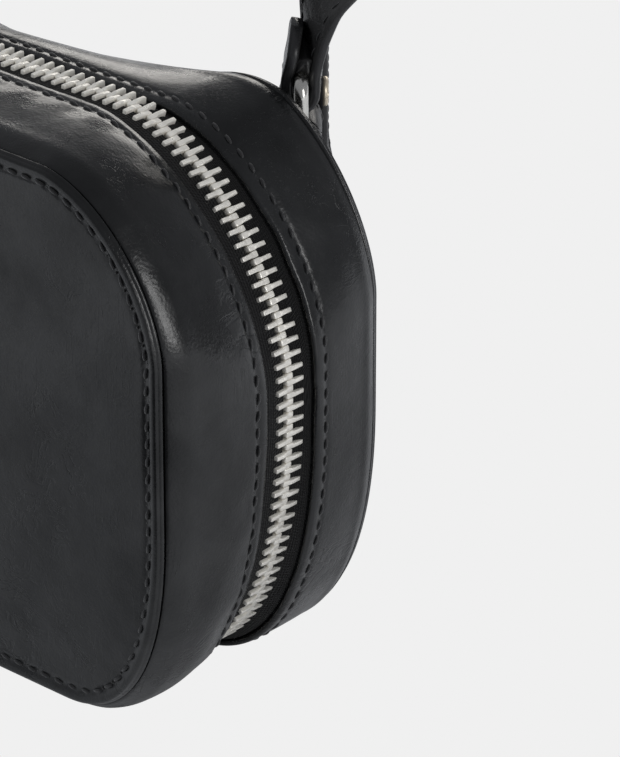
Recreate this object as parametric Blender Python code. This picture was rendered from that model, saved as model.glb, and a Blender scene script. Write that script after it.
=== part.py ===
"""Small clamshell leather crossbody bag with a zip round three sides."""
import math

import bmesh
import bpy
from mathutils import Vector

# Overall body, in metres, x across, y front to back, z up, base at zero
HALF_WIDTH = 0.0980
ZIP_TOP = 0.1274
TOP_CORNER_ACROSS = 0.0489
TOP_CORNER_DOWN = 0.0525
TOP_CORNER_POWER = 1.73
LOW_CORNER_ACROSS = 0.0420
LOW_CORNER_UP = 0.0730
LOW_CORNER_POWER = 2.32

# Front shell, from its panel to the folded edge beside the zip
FRONT_FACE_Y = -0.0375
FRONT_FOLD_Y = -0.0083
FRONT_NARROWING = 0.0034
FRONT_DROP = 0.0011
FRONT_LIFT = 0.0047
FRONT_CORNER_SHARE = 0.68
FRONT_BULGE = 0.0012
PANEL_THICKNESS = 0.0018
PANEL_PADDING = 0.0014

# Rear shell, from its folded edge to its panel
REAR_FOLD_Y = 0.0057
REAR_FACE_Y = 0.0288
REAR_FOLD_WIDENING = 0.0009
REAR_FOLD_DROP = 0.0029
REAR_FOLD_CORNER_SHARE = 0.91
REAR_NARROWING = 0.0023
REAR_RISE = 0.0022
REAR_CORNER_SHARE = 0.84
REAR_SAG = 0.0165
REAR_SAG_REACH = 0.0700
REAR_SAG_POWER = 1.25
REAR_BULGE = 0.0006

# Sheet thicknesses and the clearance between pieces
LEATHER = 0.0015
LINING = 0.0006
BOARD = 0.0010
TAPE = 0.0006
GAP = 0.0003
LINING_CLEARANCE = 0.0007
TAPE_CLEARANCE = 0.0008

# Zip
TEETH_INSET = 0.0011
TEETH_PITCH = 0.0030
TOOTH_LENGTH = 0.0011
TOOTH_DEPTH = 0.0024
TOOTH_REACH = 0.0010
COMB_EDGE_Y = 0.00387
COMB_SPINE = 0.0012
FRONT_PHASE_SHARE = -0.157
REAR_PHASE_SHARE = 0.343
TAPE_UNDER = 0.0062
CHAIN_SPREAD = 0.0032
SPREAD_CENTRE_X = -0.0220
SPREAD_FLAT = 0.0065
SPREAD_RAMP = 0.0090
STOP_LENGTH = 0.0030
STOP_HEIGHT = 0.0016

# Sliders and pulls
SLIDER_A_X = -0.0150
SLIDER_B_X = -0.0290
SLIDER_LENGTH = 0.0110
SLIDER_FRONT_Y = -0.0050
SLIDER_REAR_Y = 0.0039
SLIDER_PLATE = 0.0010
WEDGE_THICKNESS = 0.0007
WEDGE_LENGTH = 0.0040
LUG_WIDTH = 0.0024
LUG_HEIGHT = 0.0034
LUG_LENGTH = 0.0060
LUG_HOLE = 0.0018
PULL_LENGTH = 0.0200
PULL_WIDTH = 0.0060
PULL_THICKNESS = 0.0010
PULL_EYE = 0.0034

# Linings and pocket
LINING_EDGE_Y = 0.0150
POCKET_HALF_WIDTH = 0.0600
POCKET_LOW_Z = 0.0180
POCKET_TOP_Z = 0.0820
POCKET_DEPTH = 0.0050
POCKET_WALL = 0.0007

# Strap tabs, rings and rivets
RING_INSET = 0.0366
RING_X = HALF_WIDTH - RING_INSET
RING_STANDOFF = 0.0132
RING_Y = REAR_FACE_Y + RING_STANDOFF
RING_YAW = math.radians(-48.0)
RING_DROP = 0.0036
RING_TOP_Z = ZIP_TOP - RING_DROP
RING_HEIGHT = 0.0144
RING_LOW_Z = RING_TOP_Z - RING_HEIGHT
RING_HALF_WIDTH = 0.0116
RING_CORNER = 0.0026
WIRE_RADIUS = 0.0018
TAB_HALF_WIDTH = 0.0078
TAB_THICKNESS = 0.0020
TAB_LOOP_CLEARANCE = 0.0008
TAB_FOOT_SHIFT = 0.0026
TAB_FOOT_X = RING_X + TAB_FOOT_SHIFT
TAB_RISE = 0.0174
TAB_FOOT_TOP_Z = RING_LOW_Z - TAB_RISE
TAB_FOOT_HEIGHT = 0.0140
TAB_FOOT_LOW_Z = TAB_FOOT_TOP_Z - TAB_FOOT_HEIGHT
TAB_WRAP = math.radians(262.0)
RIVET_RADIUS = 0.0032
RIVET_HEIGHT = 0.0013
TAB_RIVET_RISE = 0.0060
TAB_RIVET_Z = TAB_FOOT_LOW_Z + TAB_RIVET_RISE
STRAP_RIVET_DROP = 0.0053
STRAP_RIVET_Z = RING_TOP_Z - STRAP_RIVET_DROP

# Strap
STRAP_HALF_WIDTH = 0.0082
STRAP_THICKNESS = 0.0026
STRAP_WIRE_CLEARANCE = 0.0005
STRAP_SLACK = 0.0040
STRAP_TIP_RISE = 0.0100
STRAP_TIP_Z = RING_TOP_Z + STRAP_TIP_RISE
STRAP_RISE_ACROSS = 0.0062
STRAP_RISE_X = RING_X + STRAP_RISE_ACROSS
STRAP_RISE_BACK = 0.0029
STRAP_RISE_Y = RING_Y + STRAP_RISE_BACK
STRAP_TWIST_RISE = 0.0107
STRAP_TWIST_Z = STRAP_TIP_Z + STRAP_TWIST_RISE
STRAP_CURL_RISE = 0.0135
STRAP_CURL_Z = STRAP_TWIST_Z + STRAP_CURL_RISE
STRAP_CURL_RADIUS = 0.0070
STRAP_FALL_SHIFT = 0.0094
STRAP_FALL_X = RING_X - STRAP_FALL_SHIFT
STRAP_FALL_LEFT_SHIFT = 0.0006
STRAP_FALL_LEFT_X = RING_X + STRAP_FALL_LEFT_SHIFT
STRAP_SLANT_DROP = 0.0340
STRAP_SLANT_Z = STRAP_CURL_Z - STRAP_SLANT_DROP
STRAP_TURN_TOP_Z = 0.1000
STRAP_TURN_LOW_Z = 0.0700
STRAP_BEND_RADIUS = 0.0090
STRAP_FOLD_SHIFT = 0.0120
STRAP_FOLD_X = STRAP_FALL_X - STRAP_FOLD_SHIFT
STRAP_LEVEL = 0.0090
STRAP_RUNS = 7

# Above the ring: share of the tip's height, far and near edge as shares of the bend, share of the width
TIP_EDGE_SHARES = ((1.0, -0.24, -0.24, 0.45), (0.82, -0.36, -0.36, 0.78), (0.58, -0.46, -0.48, 1.0),
                   (0.29, -0.54, -0.64, 1.0), (0.0, -1.0, -1.0, 1.0))
MAIN_EDGE_SHARES = ((0.0, 1.0, 1.0, 1.0), (0.34, 0.38, 1.02, 1.0), (0.79, 0.46, 1.36, 1.0),
                    (1.24, 0.14, 2.0, 1.0))

# Mesh resolution
TOP_STEPS = 6
CORNER_STEPS = 9
SIDE_STEPS = 1
BOTTOM_STEPS = 3
SHELL_STEPS = 4

RIGHT = Vector((1, 0, 0))
BACK = Vector((0, 1, 0))
UP = Vector((0, 0, 1))


def clear_scene():
    for item in list(bpy.data.objects):
        bpy.data.objects.remove(item, do_unlink=True)


def material(name, colour, metallic, roughness):
    made = bpy.data.materials.new(name)
    made.use_nodes = True
    shader = made.node_tree.nodes["Principled BSDF"]
    shader.inputs["Base Color"].default_value = (colour[0], colour[1], colour[2], 1)
    shader.inputs["Metallic"].default_value = metallic
    shader.inputs["Roughness"].default_value = roughness
    return made


def mesh_object(name, corners, faces, finish, smooth, twisted=False):
    mesh = bpy.data.meshes.new(name)
    mesh.from_pydata([tuple(c) for c in corners], [], faces)
    work = bmesh.new()
    work.from_mesh(mesh)
    if twisted:
        bmesh.ops.triangulate(work, faces=work.faces)
    bmesh.ops.recalc_face_normals(work, faces=work.faces)
    work.to_mesh(mesh)
    work.free()
    for face in mesh.polygons:
        face.use_smooth = smooth
    made = bpy.data.objects.new(name, mesh)
    bpy.context.collection.objects.link(made)
    made.data.materials.append(finish)
    return made


def swept(name, sections, closed, finish, smooth=False, twisted=False):
    """Close a body round a row of sections that hold equal numbers of points."""
    size = len(sections[0])
    corners = [point for section in sections for point in section]
    faces = []
    count = len(sections)
    for i in range(count if closed else count - 1):
        j = (i + 1) % count
        for k in range(size):
            n = (k + 1) % size
            faces.append((i * size + k, i * size + n, j * size + n, j * size + k))
    if not closed:
        faces.append(tuple(range(size)))
        faces.append(tuple((count - 1) * size + k for k in range(size)))
    return mesh_object(name, corners, faces, finish, smooth, twisted)


def box_corners(low, high):
    return [Vector((x, y, z)) for x in (low[0], high[0]) for y in (low[1], high[1])
            for z in (low[2], high[2])]


BOX_FACES = [(0, 1, 3, 2), (4, 6, 7, 5), (0, 4, 5, 1), (2, 3, 7, 6), (0, 2, 6, 4), (1, 5, 7, 3)]


def box(name, low, high, finish):
    return mesh_object(name, box_corners(low, high), BOX_FACES, finish, False)


def combine(base, others, operation):
    """Add or cut the other bodies and keep the result as plain mesh."""
    for other in others:
        change = base.modifiers.new("change", "BOOLEAN")
        change.operation = operation
        change.solver = "EXACT"
        change.object = other
        other.hide_render = True
        other.display_type = "WIRE"
    seen = base.evaluated_get(bpy.context.evaluated_depsgraph_get())
    result = bpy.data.meshes.new_from_object(seen)
    base.modifiers.clear()
    base.data = result
    for other in others:
        bpy.data.objects.remove(other, do_unlink=True)
    return base


def mix(a, b, share):
    return a + (b - a) * share


def ease(share):
    share = min(max(share, 0), 1)
    return share * share * (3 - 2 * share)


def ease_slope(share):
    return 6 * share * (1 - share)


def rear_sag(x):
    return REAR_SAG * (1 - min(abs(x) / REAR_SAG_REACH, 1) ** REAR_SAG_POWER)


def corner(across, down, power, step):
    angle = math.pi / 2 * step / CORNER_STEPS
    return across * math.sin(angle) ** (2 / power), down * (1 - math.cos(angle) ** (2 / power))


def half_outline(width, top, low, share):
    """Right half of an outline, from the middle of the top to the middle of the base."""
    across = TOP_CORNER_ACROSS * share
    down = TOP_CORNER_DOWN * share
    low_across = LOW_CORNER_ACROSS * share
    low_up = LOW_CORNER_UP * share
    points = [((width - across) * i / TOP_STEPS, top) for i in range(TOP_STEPS + 1)]
    for i in range(1, CORNER_STEPS + 1):
        out, fall = corner(across, down, TOP_CORNER_POWER, i)
        points.append((width - across + out, top - fall))
    side_low = low + low_up
    for i in range(1, SIDE_STEPS + 1):
        points.append((width, mix(top - down, side_low, i / SIDE_STEPS)))
    for i in range(1, CORNER_STEPS + 1):
        out, fall = corner(low_across, low_up, LOW_CORNER_POWER, CORNER_STEPS - i)
        points.append((width - low_across + out, low + fall))
    for i in range(1, BOTTOM_STEPS + 1):
        points.append(((width - low_across) * (1 - i / BOTTOM_STEPS), low))
    return points


LOW_CORNER_END = TOP_STEPS + CORNER_STEPS + SIDE_STEPS + CORNER_STEPS


def loop(station, inset=0, sag_share=0):
    """Closed outline at one station, moved inward by the inset."""
    y, width, top, low, share = station
    half = half_outline(width, top, low, share)
    half = [(x, z - sag_share * rear_sag(x) * max(z - top + TOP_CORNER_DOWN, 0) / TOP_CORNER_DOWN)
            for x, z in half]
    full = half + [(-x, z) for x, z in reversed(half[1:-1])]
    count = len(full)
    points = []
    for i in range(count):
        before = Vector(full[i - 1])
        after = Vector(full[(i + 1) % count])
        along = (after - before).normalized()
        points.append(inward(full[i], along, inset, y))
    return points


def inward(point, along, inset, y):
    return Vector((point[0] + along.y * inset, y, point[1] - along.x * inset))


def front_station(share):
    """Station on the front shell, share 0 at the folded edge and 1 at the panel's face."""
    swell = FRONT_BULGE * math.sin(math.pi * share)
    return (mix(FRONT_FOLD_Y, FRONT_FACE_Y, share),
            HALF_WIDTH - FRONT_NARROWING * share ** 2 + swell,
            ZIP_TOP - FRONT_DROP * share ** 2 + swell,
            FRONT_LIFT * share ** 4,
            mix(1, FRONT_CORNER_SHARE, share))


def rear_station(share):
    """Station on the rear shell, share 0 at the folded edge and 1 at the panel's face."""
    swell = REAR_BULGE * math.sin(math.pi * share)
    return (mix(REAR_FOLD_Y, REAR_FACE_Y, share),
            HALF_WIDTH + mix(REAR_FOLD_WIDENING, -REAR_NARROWING, share) + swell,
            ZIP_TOP + mix(-REAR_FOLD_DROP, REAR_RISE, share) + swell,
            0,
            mix(REAR_FOLD_CORNER_SHARE, REAR_CORNER_SHARE, share))


def front_loop(share, inset=0):
    return loop(front_station(share), inset)


def rear_loop(share, inset=0):
    return loop(rear_station(share), inset, share ** 1.6)


def front_share(y):
    return (y - FRONT_FOLD_Y) / (FRONT_FACE_Y - FRONT_FOLD_Y)


def rear_share(y):
    return (y - REAR_FOLD_Y) / (REAR_FACE_Y - REAR_FOLD_Y)


def ring_body(name, make_loop, shares, inset, thickness, finish):
    outer = [make_loop(share, inset) for share in shares]
    inner = [make_loop(share, inset + thickness) for share in shares]
    count = len(outer[0])
    sections = []
    for i in range(count):
        sections.append([line[i] for line in outer] + [line[i] for line in reversed(inner)])
    return swept(name, sections, True, finish, True)


def shares_between(start, end, steps):
    return [mix(start, end, i / steps) for i in range(steps + 1)]


PANEL_RING_SHARES = ((1.0, 0.35), (0.985, 0.0), (0.93, -0.35), (0.80, -0.75), (0.45, -1.0))


def plate(name, border, y_out, y_in, padding, finish):
    """Plate inside a border, its outer face raised toward the middle by the padding."""
    middle = sum(border, Vector()) / len(border)
    side = 1 if y_out > y_in else -1
    rings = []
    for scale, rise_share in PANEL_RING_SHARES:
        rings.append([Vector((mix(middle.x, p.x, scale), y_out - side * padding * (rise_share + 1),
                              mix(middle.z, p.z, scale))) for p in border])
    rings.reverse()
    rings.append([Vector((p.x, y_in, p.z)) for p in border])
    count = len(border)
    corners = [Vector((middle.x, y_out, middle.z))]
    for ring in rings:
        corners.extend(ring)
    faces = []
    for i in range(count):
        j = (i + 1) % count
        faces.append((0, 1 + i, 1 + j))
        for k in range(len(rings) - 1):
            base = 1 + k * count
            faces.append((base + i, base + count + i, base + count + j, base + j))
    last = 1 + (len(rings) - 1) * count
    faces.append(tuple(last + i for i in range(count)))
    return mesh_object(name, corners, faces, finish, True)


def front_panel(finish):
    border = front_loop(1, 0)
    return plate("front_panel", border, FRONT_FACE_Y - PANEL_PADDING, FRONT_FACE_Y + PANEL_THICKNESS,
                 PANEL_PADDING, finish)


def rear_panel(finish):
    border = rear_loop(1, 0)
    return plate("rear_panel", border, REAR_FACE_Y, REAR_FACE_Y - PANEL_THICKNESS, 0, finish)


def front_gusset(finish):
    start = 0
    end = front_share(FRONT_FACE_Y + PANEL_THICKNESS + GAP)
    return ring_body("front_gusset", front_loop, shares_between(start, end, SHELL_STEPS), 0, LEATHER, finish)


def rear_gusset(finish):
    end = rear_share(REAR_FACE_Y - PANEL_THICKNESS - GAP)
    return ring_body("rear_gusset", rear_loop, shares_between(0, end, SHELL_STEPS), 0, LEATHER, finish)


def flat_board(name, make_loop, share, inset, y_a, y_b, finish):
    border = make_loop(share, inset)
    sections = [[Vector((p.x, y_a, p.z)), Vector((p.x, y_b, p.z))] for p in border]
    corners = [point for pair in sections for point in pair]
    count = len(border)
    faces = []
    for i in range(count):
        j = (i + 1) % count
        faces.append((2 * i, 2 * i + 1, 2 * j + 1, 2 * j))
    faces.append(tuple(2 * i for i in range(count)))
    faces.append(tuple(2 * i + 1 for i in range(count)))
    return mesh_object(name, corners, faces, finish, False)


def front_board(finish):
    outer = FRONT_FACE_Y + PANEL_THICKNESS + GAP
    return flat_board("front_board", front_loop, 1, LEATHER + 3 * GAP, outer, outer + BOARD, finish)


def rear_board(finish):
    outer = REAR_FACE_Y - PANEL_THICKNESS - GAP
    return flat_board("rear_board", rear_loop, 1, LEATHER + 3 * GAP, outer, outer - BOARD, finish)


def tray(name, make_loop, open_share, wall_share, y_wall, y_back, inset, finish):
    """Lining with a wall round the outline and a closed back."""
    shares = shares_between(open_share, wall_share, SHELL_STEPS - 1)
    outer = [make_loop(share, inset) for share in shares]
    inner = [make_loop(share, inset + LINING) for share in shares]
    count = len(outer[0])
    outer[-1] = [Vector((p.x, y_back, p.z)) for p in outer[-1]]
    inner[-1] = [Vector((p.x, y_wall, p.z)) for p in inner[-1]]
    lines = outer[::-1] + inner
    corners = [point for line in lines for point in line]
    faces = []
    for k in range(len(lines) - 1):
        for i in range(count):
            j = (i + 1) % count
            faces.append((k * count + i, k * count + j, (k + 1) * count + j, (k + 1) * count + i))
    faces.append(tuple(range(count)))
    faces.append(tuple((len(lines) - 1) * count + i for i in range(count)))
    return mesh_object(name, corners, faces, finish, False)


def front_lining(finish):
    back = FRONT_FACE_Y + PANEL_THICKNESS + 2 * GAP + BOARD
    return tray("front_lining", front_loop, front_share(-LINING_EDGE_Y), front_share(back + LINING),
                back + LINING, back, LEATHER + LINING_CLEARANCE, finish)


def rear_lining(finish):
    back = REAR_FACE_Y - PANEL_THICKNESS - 2 * GAP - BOARD
    return tray("rear_lining", rear_loop, rear_share(LINING_EDGE_Y), rear_share(back - LINING),
                back - LINING, back, LEATHER + LINING_CLEARANCE, finish)


def slip_pocket(finish):
    face = REAR_FACE_Y - PANEL_THICKNESS - 3 * GAP - BOARD - LINING
    outer = box("slip_pocket", (-POCKET_HALF_WIDTH, face - POCKET_DEPTH, POCKET_LOW_Z),
                (POCKET_HALF_WIDTH, face, POCKET_TOP_Z), finish)
    inner = box("pocket_space", (-POCKET_HALF_WIDTH + POCKET_WALL, face - POCKET_DEPTH + POCKET_WALL,
                                 POCKET_LOW_Z + POCKET_WALL),
                (POCKET_HALF_WIDTH - POCKET_WALL, face + POCKET_DEPTH, POCKET_TOP_Z + POCKET_DEPTH), finish)
    return combine(outer, [inner], "DIFFERENCE")


def spread(x, z):
    """How far the front row stands aside where the sliders' wedges part the chain."""
    if z < ZIP_TOP - TOP_CORNER_DOWN:
        return 0
    away = abs(x - SPREAD_CENTRE_X)
    return CHAIN_SPREAD * (1 - min(max((away - SPREAD_FLAT) / SPREAD_RAMP, 0), 1))


def chain_points(inset):
    """Outline of the chain from the right end of the zip over the top to the left end."""
    station = (0, HALF_WIDTH, ZIP_TOP, 0, 1)
    points = loop(station, inset)
    count = len(points)
    right = points[LOW_CORNER_END::-1]
    left = points[:count - LOW_CORNER_END - 1:-1]
    return right + left


def chain_rows(make_loop, share, inset):
    points = make_loop(share, inset)
    count = len(points)
    return points[LOW_CORNER_END::-1] + points[:count - LOW_CORNER_END - 1:-1]


def refine(points, step):
    """Points along a line at close even steps."""
    made = []
    for a, b in zip(points, points[1:]):
        parts = max(1, round((b - a).length / step))
        made.extend(mix(a, b, i / parts) for i in range(parts))
    made.append(points[-1])
    return made


def zip_tape(name, side, finish):
    middle = TEETH_INSET + TOOTH_DEPTH / 2
    near = refine(chain_points(middle - TAPE / 2), TEETH_PITCH * 2)
    near_low = refine_like(chain_points(middle + TAPE / 2), chain_points(middle - TAPE / 2), TEETH_PITCH * 2)
    edge = COMB_EDGE_Y + TAPE_CLEARANCE
    if side < 0:
        under = front_share(FRONT_FOLD_Y - TAPE_UNDER)
        lines = [(front_loop, 0), (front_loop, under)]
    else:
        under = rear_share(REAR_FOLD_Y + TAPE_UNDER)
        lines = [(rear_loop, 0), (rear_loop, under)]
    top_rows = []
    low_rows = []
    guide = chain_points(middle - TAPE / 2)
    for make_loop, share in lines:
        top_rows.append(refine_like(chain_rows(make_loop, share, LEATHER + GAP), guide, TEETH_PITCH * 2))
        low_rows.append(refine_like(chain_rows(make_loop, share, LEATHER + GAP + TAPE), guide, TEETH_PITCH * 2))
    sections = []
    for i, point in enumerate(near):
        y = side * edge
        if side < 0:
            y -= spread(point.x, point.z)
        first = Vector((point.x, y, point.z))
        last = Vector((near_low[i].x, y, near_low[i].z))
        sections.append([first] + [row[i] for row in top_rows] + [row[i] for row in reversed(low_rows)] + [last])
    return swept(name, sections, False, finish, False)


def refine_like(points, guide, step):
    """Refine a line with the same number of points between knots as the guide gets."""
    made = []
    for i in range(len(guide) - 1):
        parts = max(1, round((guide[i + 1] - guide[i]).length / step))
        made.extend(mix(points[i], points[i + 1], k / parts) for k in range(parts))
    made.append(points[-1])
    return made


def walk(points, distance_from_middle):
    """Point at a distance from the top middle, positive to the right."""
    middle = min(range(len(points)), key=lambda i: (abs(points[i].x), -points[i].z))
    order = points[middle::-1] if distance_from_middle > 0 else points[middle:]
    left = abs(distance_from_middle)
    for a, b in zip(order, order[1:]):
        length = (b - a).length
        if left <= length:
            return mix(a, b, left / length)
        left -= length
    return order[-1]


def line_length(points):
    return sum((b - a).length for a, b in zip(points, points[1:]))


def zip_teeth(name, side, phase_share, finish):
    """One row of teeth standing on a narrow spine along the tape's edge."""
    outer = refine(chain_points(TEETH_INSET), TEETH_PITCH / 6)
    total = line_length(outer) / 2 - GAP
    first = math.ceil((TEETH_PITCH - total) / TEETH_PITCH - phase_share)
    last = math.floor((total - TEETH_PITCH) / TEETH_PITCH - phase_share)
    distances = [total]
    for i in range(last, first - 1, -1):
        middle = (i + phase_share) * TEETH_PITCH
        distances.append(middle + TOOTH_LENGTH / 2)
        distances.append(middle - TOOTH_LENGTH / 2)
    distances.append(-total)
    corners = []
    for distance in distances:
        point = walk(outer, distance)
        ahead = walk(outer, min(distance + TEETH_PITCH / 2, total))
        behind = walk(outer, max(distance - TEETH_PITCH / 2, -total))
        along = (ahead - behind).normalized()
        inner_way = Vector((along.z, 0, -along.x))
        low = point + inner_way * TOOTH_DEPTH
        aside = spread(point.x, point.z) if side < 0 else 0
        back = side * COMB_EDGE_Y - aside
        spine = side * (COMB_EDGE_Y - COMB_SPINE) - aside
        tip = -side * TOOTH_REACH - aside
        for y, where in ((back, point), (spine, point), (tip, point), (tip, low), (spine, low), (back, low)):
            corners.append(Vector((where.x, y, where.z)))
    faces = []
    rows = len(distances)
    for i in range(rows - 1):
        a = 6 * i
        b = a + 6
        faces.append((a, a + 1, b + 1, b))
        faces.append((a + 4, a + 5, b + 5, b + 4))
        faces.append((a + 5, a, b, b + 5))
        if i % 2 == 0:
            faces.append((a + 1, a + 4, b + 4, b + 1))
            continue
        faces.append((a + 1, a + 2, b + 2, b + 1))
        faces.append((a + 2, a + 3, b + 3, b + 2))
        faces.append((a + 3, a + 4, b + 4, b + 3))
        faces.append((a + 1, a + 4, a + 3, a + 2))
        faces.append((b + 1, b + 2, b + 3, b + 4))
    end = 6 * (rows - 1)
    faces.append((0, 1, 4, 5))
    faces.append((end, end + 1, end + 4, end + 5))
    used = sorted({k for face in faces for k in face})
    place = {k: n for n, k in enumerate(used)}
    faces = [tuple(place[k] for k in face) for face in faces]
    return mesh_object(name, [corners[k] for k in used], faces, finish, False)


def zip_end_x():
    return HALF_WIDTH - LOW_CORNER_ACROSS


def base_panel(finish):
    reach = zip_end_x() - STOP_LENGTH - 2 * GAP
    return box("base_panel", (-reach, FRONT_FOLD_Y + GAP, 0), (reach, REAR_FOLD_Y - GAP, LEATHER), finish)


def zip_stop(name, side, finish):
    near = zip_end_x() - STOP_LENGTH - GAP
    far = zip_end_x() - GAP
    low = min(side * near, side * far)
    high = max(side * near, side * far)
    return box(name, (low, -COMB_EDGE_Y, TEETH_INSET), (high, COMB_EDGE_Y, TEETH_INSET + STOP_HEIGHT), finish)


def slider(name, x, facing, finish):
    """Two plates joined by a wedge at the end that faces the other slider."""
    top = ZIP_TOP - TEETH_INSET + GAP
    low = ZIP_TOP - TEETH_INSET - TOOTH_DEPTH - GAP
    half = SLIDER_LENGTH / 2
    body = box(name, (x - half, SLIDER_FRONT_Y, top), (x + half, SLIDER_REAR_Y, top + SLIDER_PLATE), finish)
    lower = box("lower", (x - half, SLIDER_FRONT_Y, low - SLIDER_PLATE), (x + half, SLIDER_REAR_Y, low), finish)
    wedge_y = -TOOTH_REACH - (CHAIN_SPREAD - 2 * TOOTH_REACH) / 2
    ends = (x + facing * half, x + facing * (half - WEDGE_LENGTH))
    wedge = box("wedge", (min(ends), wedge_y - WEDGE_THICKNESS / 2, low - SLIDER_PLATE / 2),
                (max(ends), wedge_y + WEDGE_THICKNESS / 2, top + SLIDER_PLATE / 2), finish)
    lug_middle = (SLIDER_FRONT_Y + SLIDER_REAR_Y) / 2
    lug_top = top + SLIDER_PLATE + LUG_HEIGHT
    lug = box("lug", (x - LUG_LENGTH / 2, lug_middle - LUG_WIDTH / 2, top + SLIDER_PLATE / 2),
              (x + LUG_LENGTH / 2, lug_middle + LUG_WIDTH / 2, lug_top), finish)
    combine(body, [lower, wedge, lug], "UNION")
    hole_z = top + SLIDER_PLATE + LUG_HEIGHT / 2
    hole = box("hole", (x - LUG_HOLE / 2, lug_middle - LUG_WIDTH, hole_z - LUG_HOLE / 2),
               (x + LUG_HOLE / 2, lug_middle + LUG_WIDTH, hole_z + LUG_HOLE / 2), finish)
    return combine(body, [hole], "DIFFERENCE")


def pull_pivot(x):
    z = ZIP_TOP - TEETH_INSET + GAP + SLIDER_PLATE + LUG_HEIGHT / 2
    return Vector((x, (SLIDER_FRONT_Y + SLIDER_REAR_Y) / 2, z))


def pull(name, x, away, finish):
    """Flat link whose eye goes through the slider's lug."""
    pivot = pull_pivot(x)
    bar = (LUG_HOLE - 2 * GAP) / 2
    half = PULL_WIDTH / 2
    rest = pivot.z
    ends = (pivot.x - away * bar, pivot.x + away * PULL_LENGTH)
    body = box(name, (min(ends), pivot.y - half, rest - PULL_THICKNESS / 2),
               (max(ends), pivot.y + half, rest + PULL_THICKNESS / 2), finish)
    eye_ends = (pivot.x + away * bar, pivot.x + away * (PULL_EYE + LUG_LENGTH / 2))
    eye = box("eye", (min(eye_ends), pivot.y - LUG_WIDTH / 2 - GAP, rest - PULL_THICKNESS),
              (max(eye_ends), pivot.y + LUG_WIDTH / 2 + GAP, rest + PULL_THICKNESS), finish)
    combine(body, [eye], "DIFFERENCE")
    set_origin(body, pivot)
    return body


def set_origin(item, point):
    for vertex in item.data.vertices:
        vertex.co -= point
    item.location = point


def ribbon(name, path, half_width, thickness, finish):
    """Strip of leather along a path of points, each with its width direction."""
    count = len(path)
    sections = []
    for i, (point, wide) in enumerate(path):
        before = path[max(i - 1, 0)][0]
        after = path[min(i + 1, count - 1)][0]
        along = (after - before).normalized()
        out = along.cross(wide).normalized()
        sections.append([point + wide * half_width + out * thickness / 2,
                         point - wide * half_width + out * thickness / 2,
                         point - wide * half_width - out * thickness / 2,
                         point + wide * half_width - out * thickness / 2])
    return swept(name, sections, False, finish, False, True)


def mirrored(vector, side):
    return Vector((vector.x * side, vector.y, vector.z))


def ring_wide():
    return Vector((math.cos(RING_YAW), math.sin(RING_YAW), 0))


def ring_out():
    return Vector((-math.sin(RING_YAW), math.cos(RING_YAW), 0))


def wire_ring(name, side, finish):
    """Rectangular ring of round wire with rounded corners."""
    wide = ring_wide()
    middle = Vector((RING_X, RING_Y, 0))
    reach = RING_HALF_WIDTH - RING_CORNER
    low = RING_LOW_Z + RING_CORNER
    top = RING_TOP_Z - RING_CORNER
    centres = ((reach, top, 0), (-reach, top, 1), (-reach, low, 2), (reach, low, 3))
    line = []
    steps = 4
    for across, z, quarter in centres:
        for i in range(steps + 1):
            angle = math.pi / 2 * (quarter + i / steps)
            line.append(middle + wide * (across + RING_CORNER * math.cos(angle))
                        + UP * (z + RING_CORNER * math.sin(angle)))
    sections = []
    count = len(line)
    normal = ring_out()
    for i in range(count):
        along = (line[(i + 1) % count] - line[i - 1]).normalized()
        flat = along.cross(normal)
        section = []
        for k in range(10):
            angle = 2 * math.pi * k / 10
            point = line[i] + (flat * math.cos(angle) + normal * math.sin(angle)) * WIRE_RADIUS
            section.append(mirrored(point, side))
        sections.append(section)
    return swept(name, sections, True, finish, True)


def tab_path():
    """From the foot on the rear panel, up and round the ring's lower bar."""
    foot_y = REAR_FACE_Y + GAP + TAB_THICKNESS / 2
    radius = WIRE_RADIUS + TAB_LOOP_CLEARANCE + TAB_THICKNESS / 2
    wide = ring_wide()
    out = ring_out()
    middle = Vector((RING_X, RING_Y, RING_LOW_Z))
    foot_low = Vector((TAB_FOOT_X, foot_y, TAB_FOOT_LOW_Z))
    foot_top = Vector((TAB_FOOT_X, foot_y, TAB_FOOT_TOP_Z))
    join = middle - out * radius
    path = [(foot_low, RIGHT), (mix(foot_low, foot_top, 0.5), RIGHT), (foot_top, RIGHT)]
    reach = (join - foot_top).length
    for i in range(1, 8):
        share = i / 8
        a = foot_top + UP * reach * share * 0.35
        b = join - UP * reach * (1 - share) * 0.35
        path.append((mix(a, b, ease(share)), mix(RIGHT, wide, ease(share)).normalized()))
    for i in range(15):
        angle = math.pi - TAB_WRAP * i / 14
        point = middle + out * radius * math.cos(angle) + UP * radius * math.sin(angle)
        path.append((point, wide))
    return path


def strap_tab(name, side, finish):
    path = [(mirrored(point, side), mirrored(wide, side)) for point, wide in tab_path()]
    return ribbon(name, path, TAB_HALF_WIDTH, TAB_THICKNESS, finish)


def disc(name, middle, axis, radius, height, finish):
    """Low domed head that stands on its flat face."""
    axis = axis.normalized()
    first = axis.cross(UP).normalized()
    second = axis.cross(first)
    sides = 16
    rows = ((1.0, 0.0), (1.0, 0.45), (0.8, 0.85), (0.35, 1.0))
    corners = []
    for scale, rise_share in rows:
        for k in range(sides):
            angle = 2 * math.pi * k / sides
            corners.append(middle + (first * math.cos(angle) + second * math.sin(angle)) * radius * scale
                           + axis * height * rise_share)
    faces = [tuple(range(sides)), tuple(range(3 * sides, 4 * sides))]
    for row in range(3):
        for k in range(sides):
            n = (k + 1) % sides
            faces.append((row * sides + k, row * sides + n, (row + 1) * sides + n, (row + 1) * sides + k))
    return mesh_object(name, corners, faces, finish, True)


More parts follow.
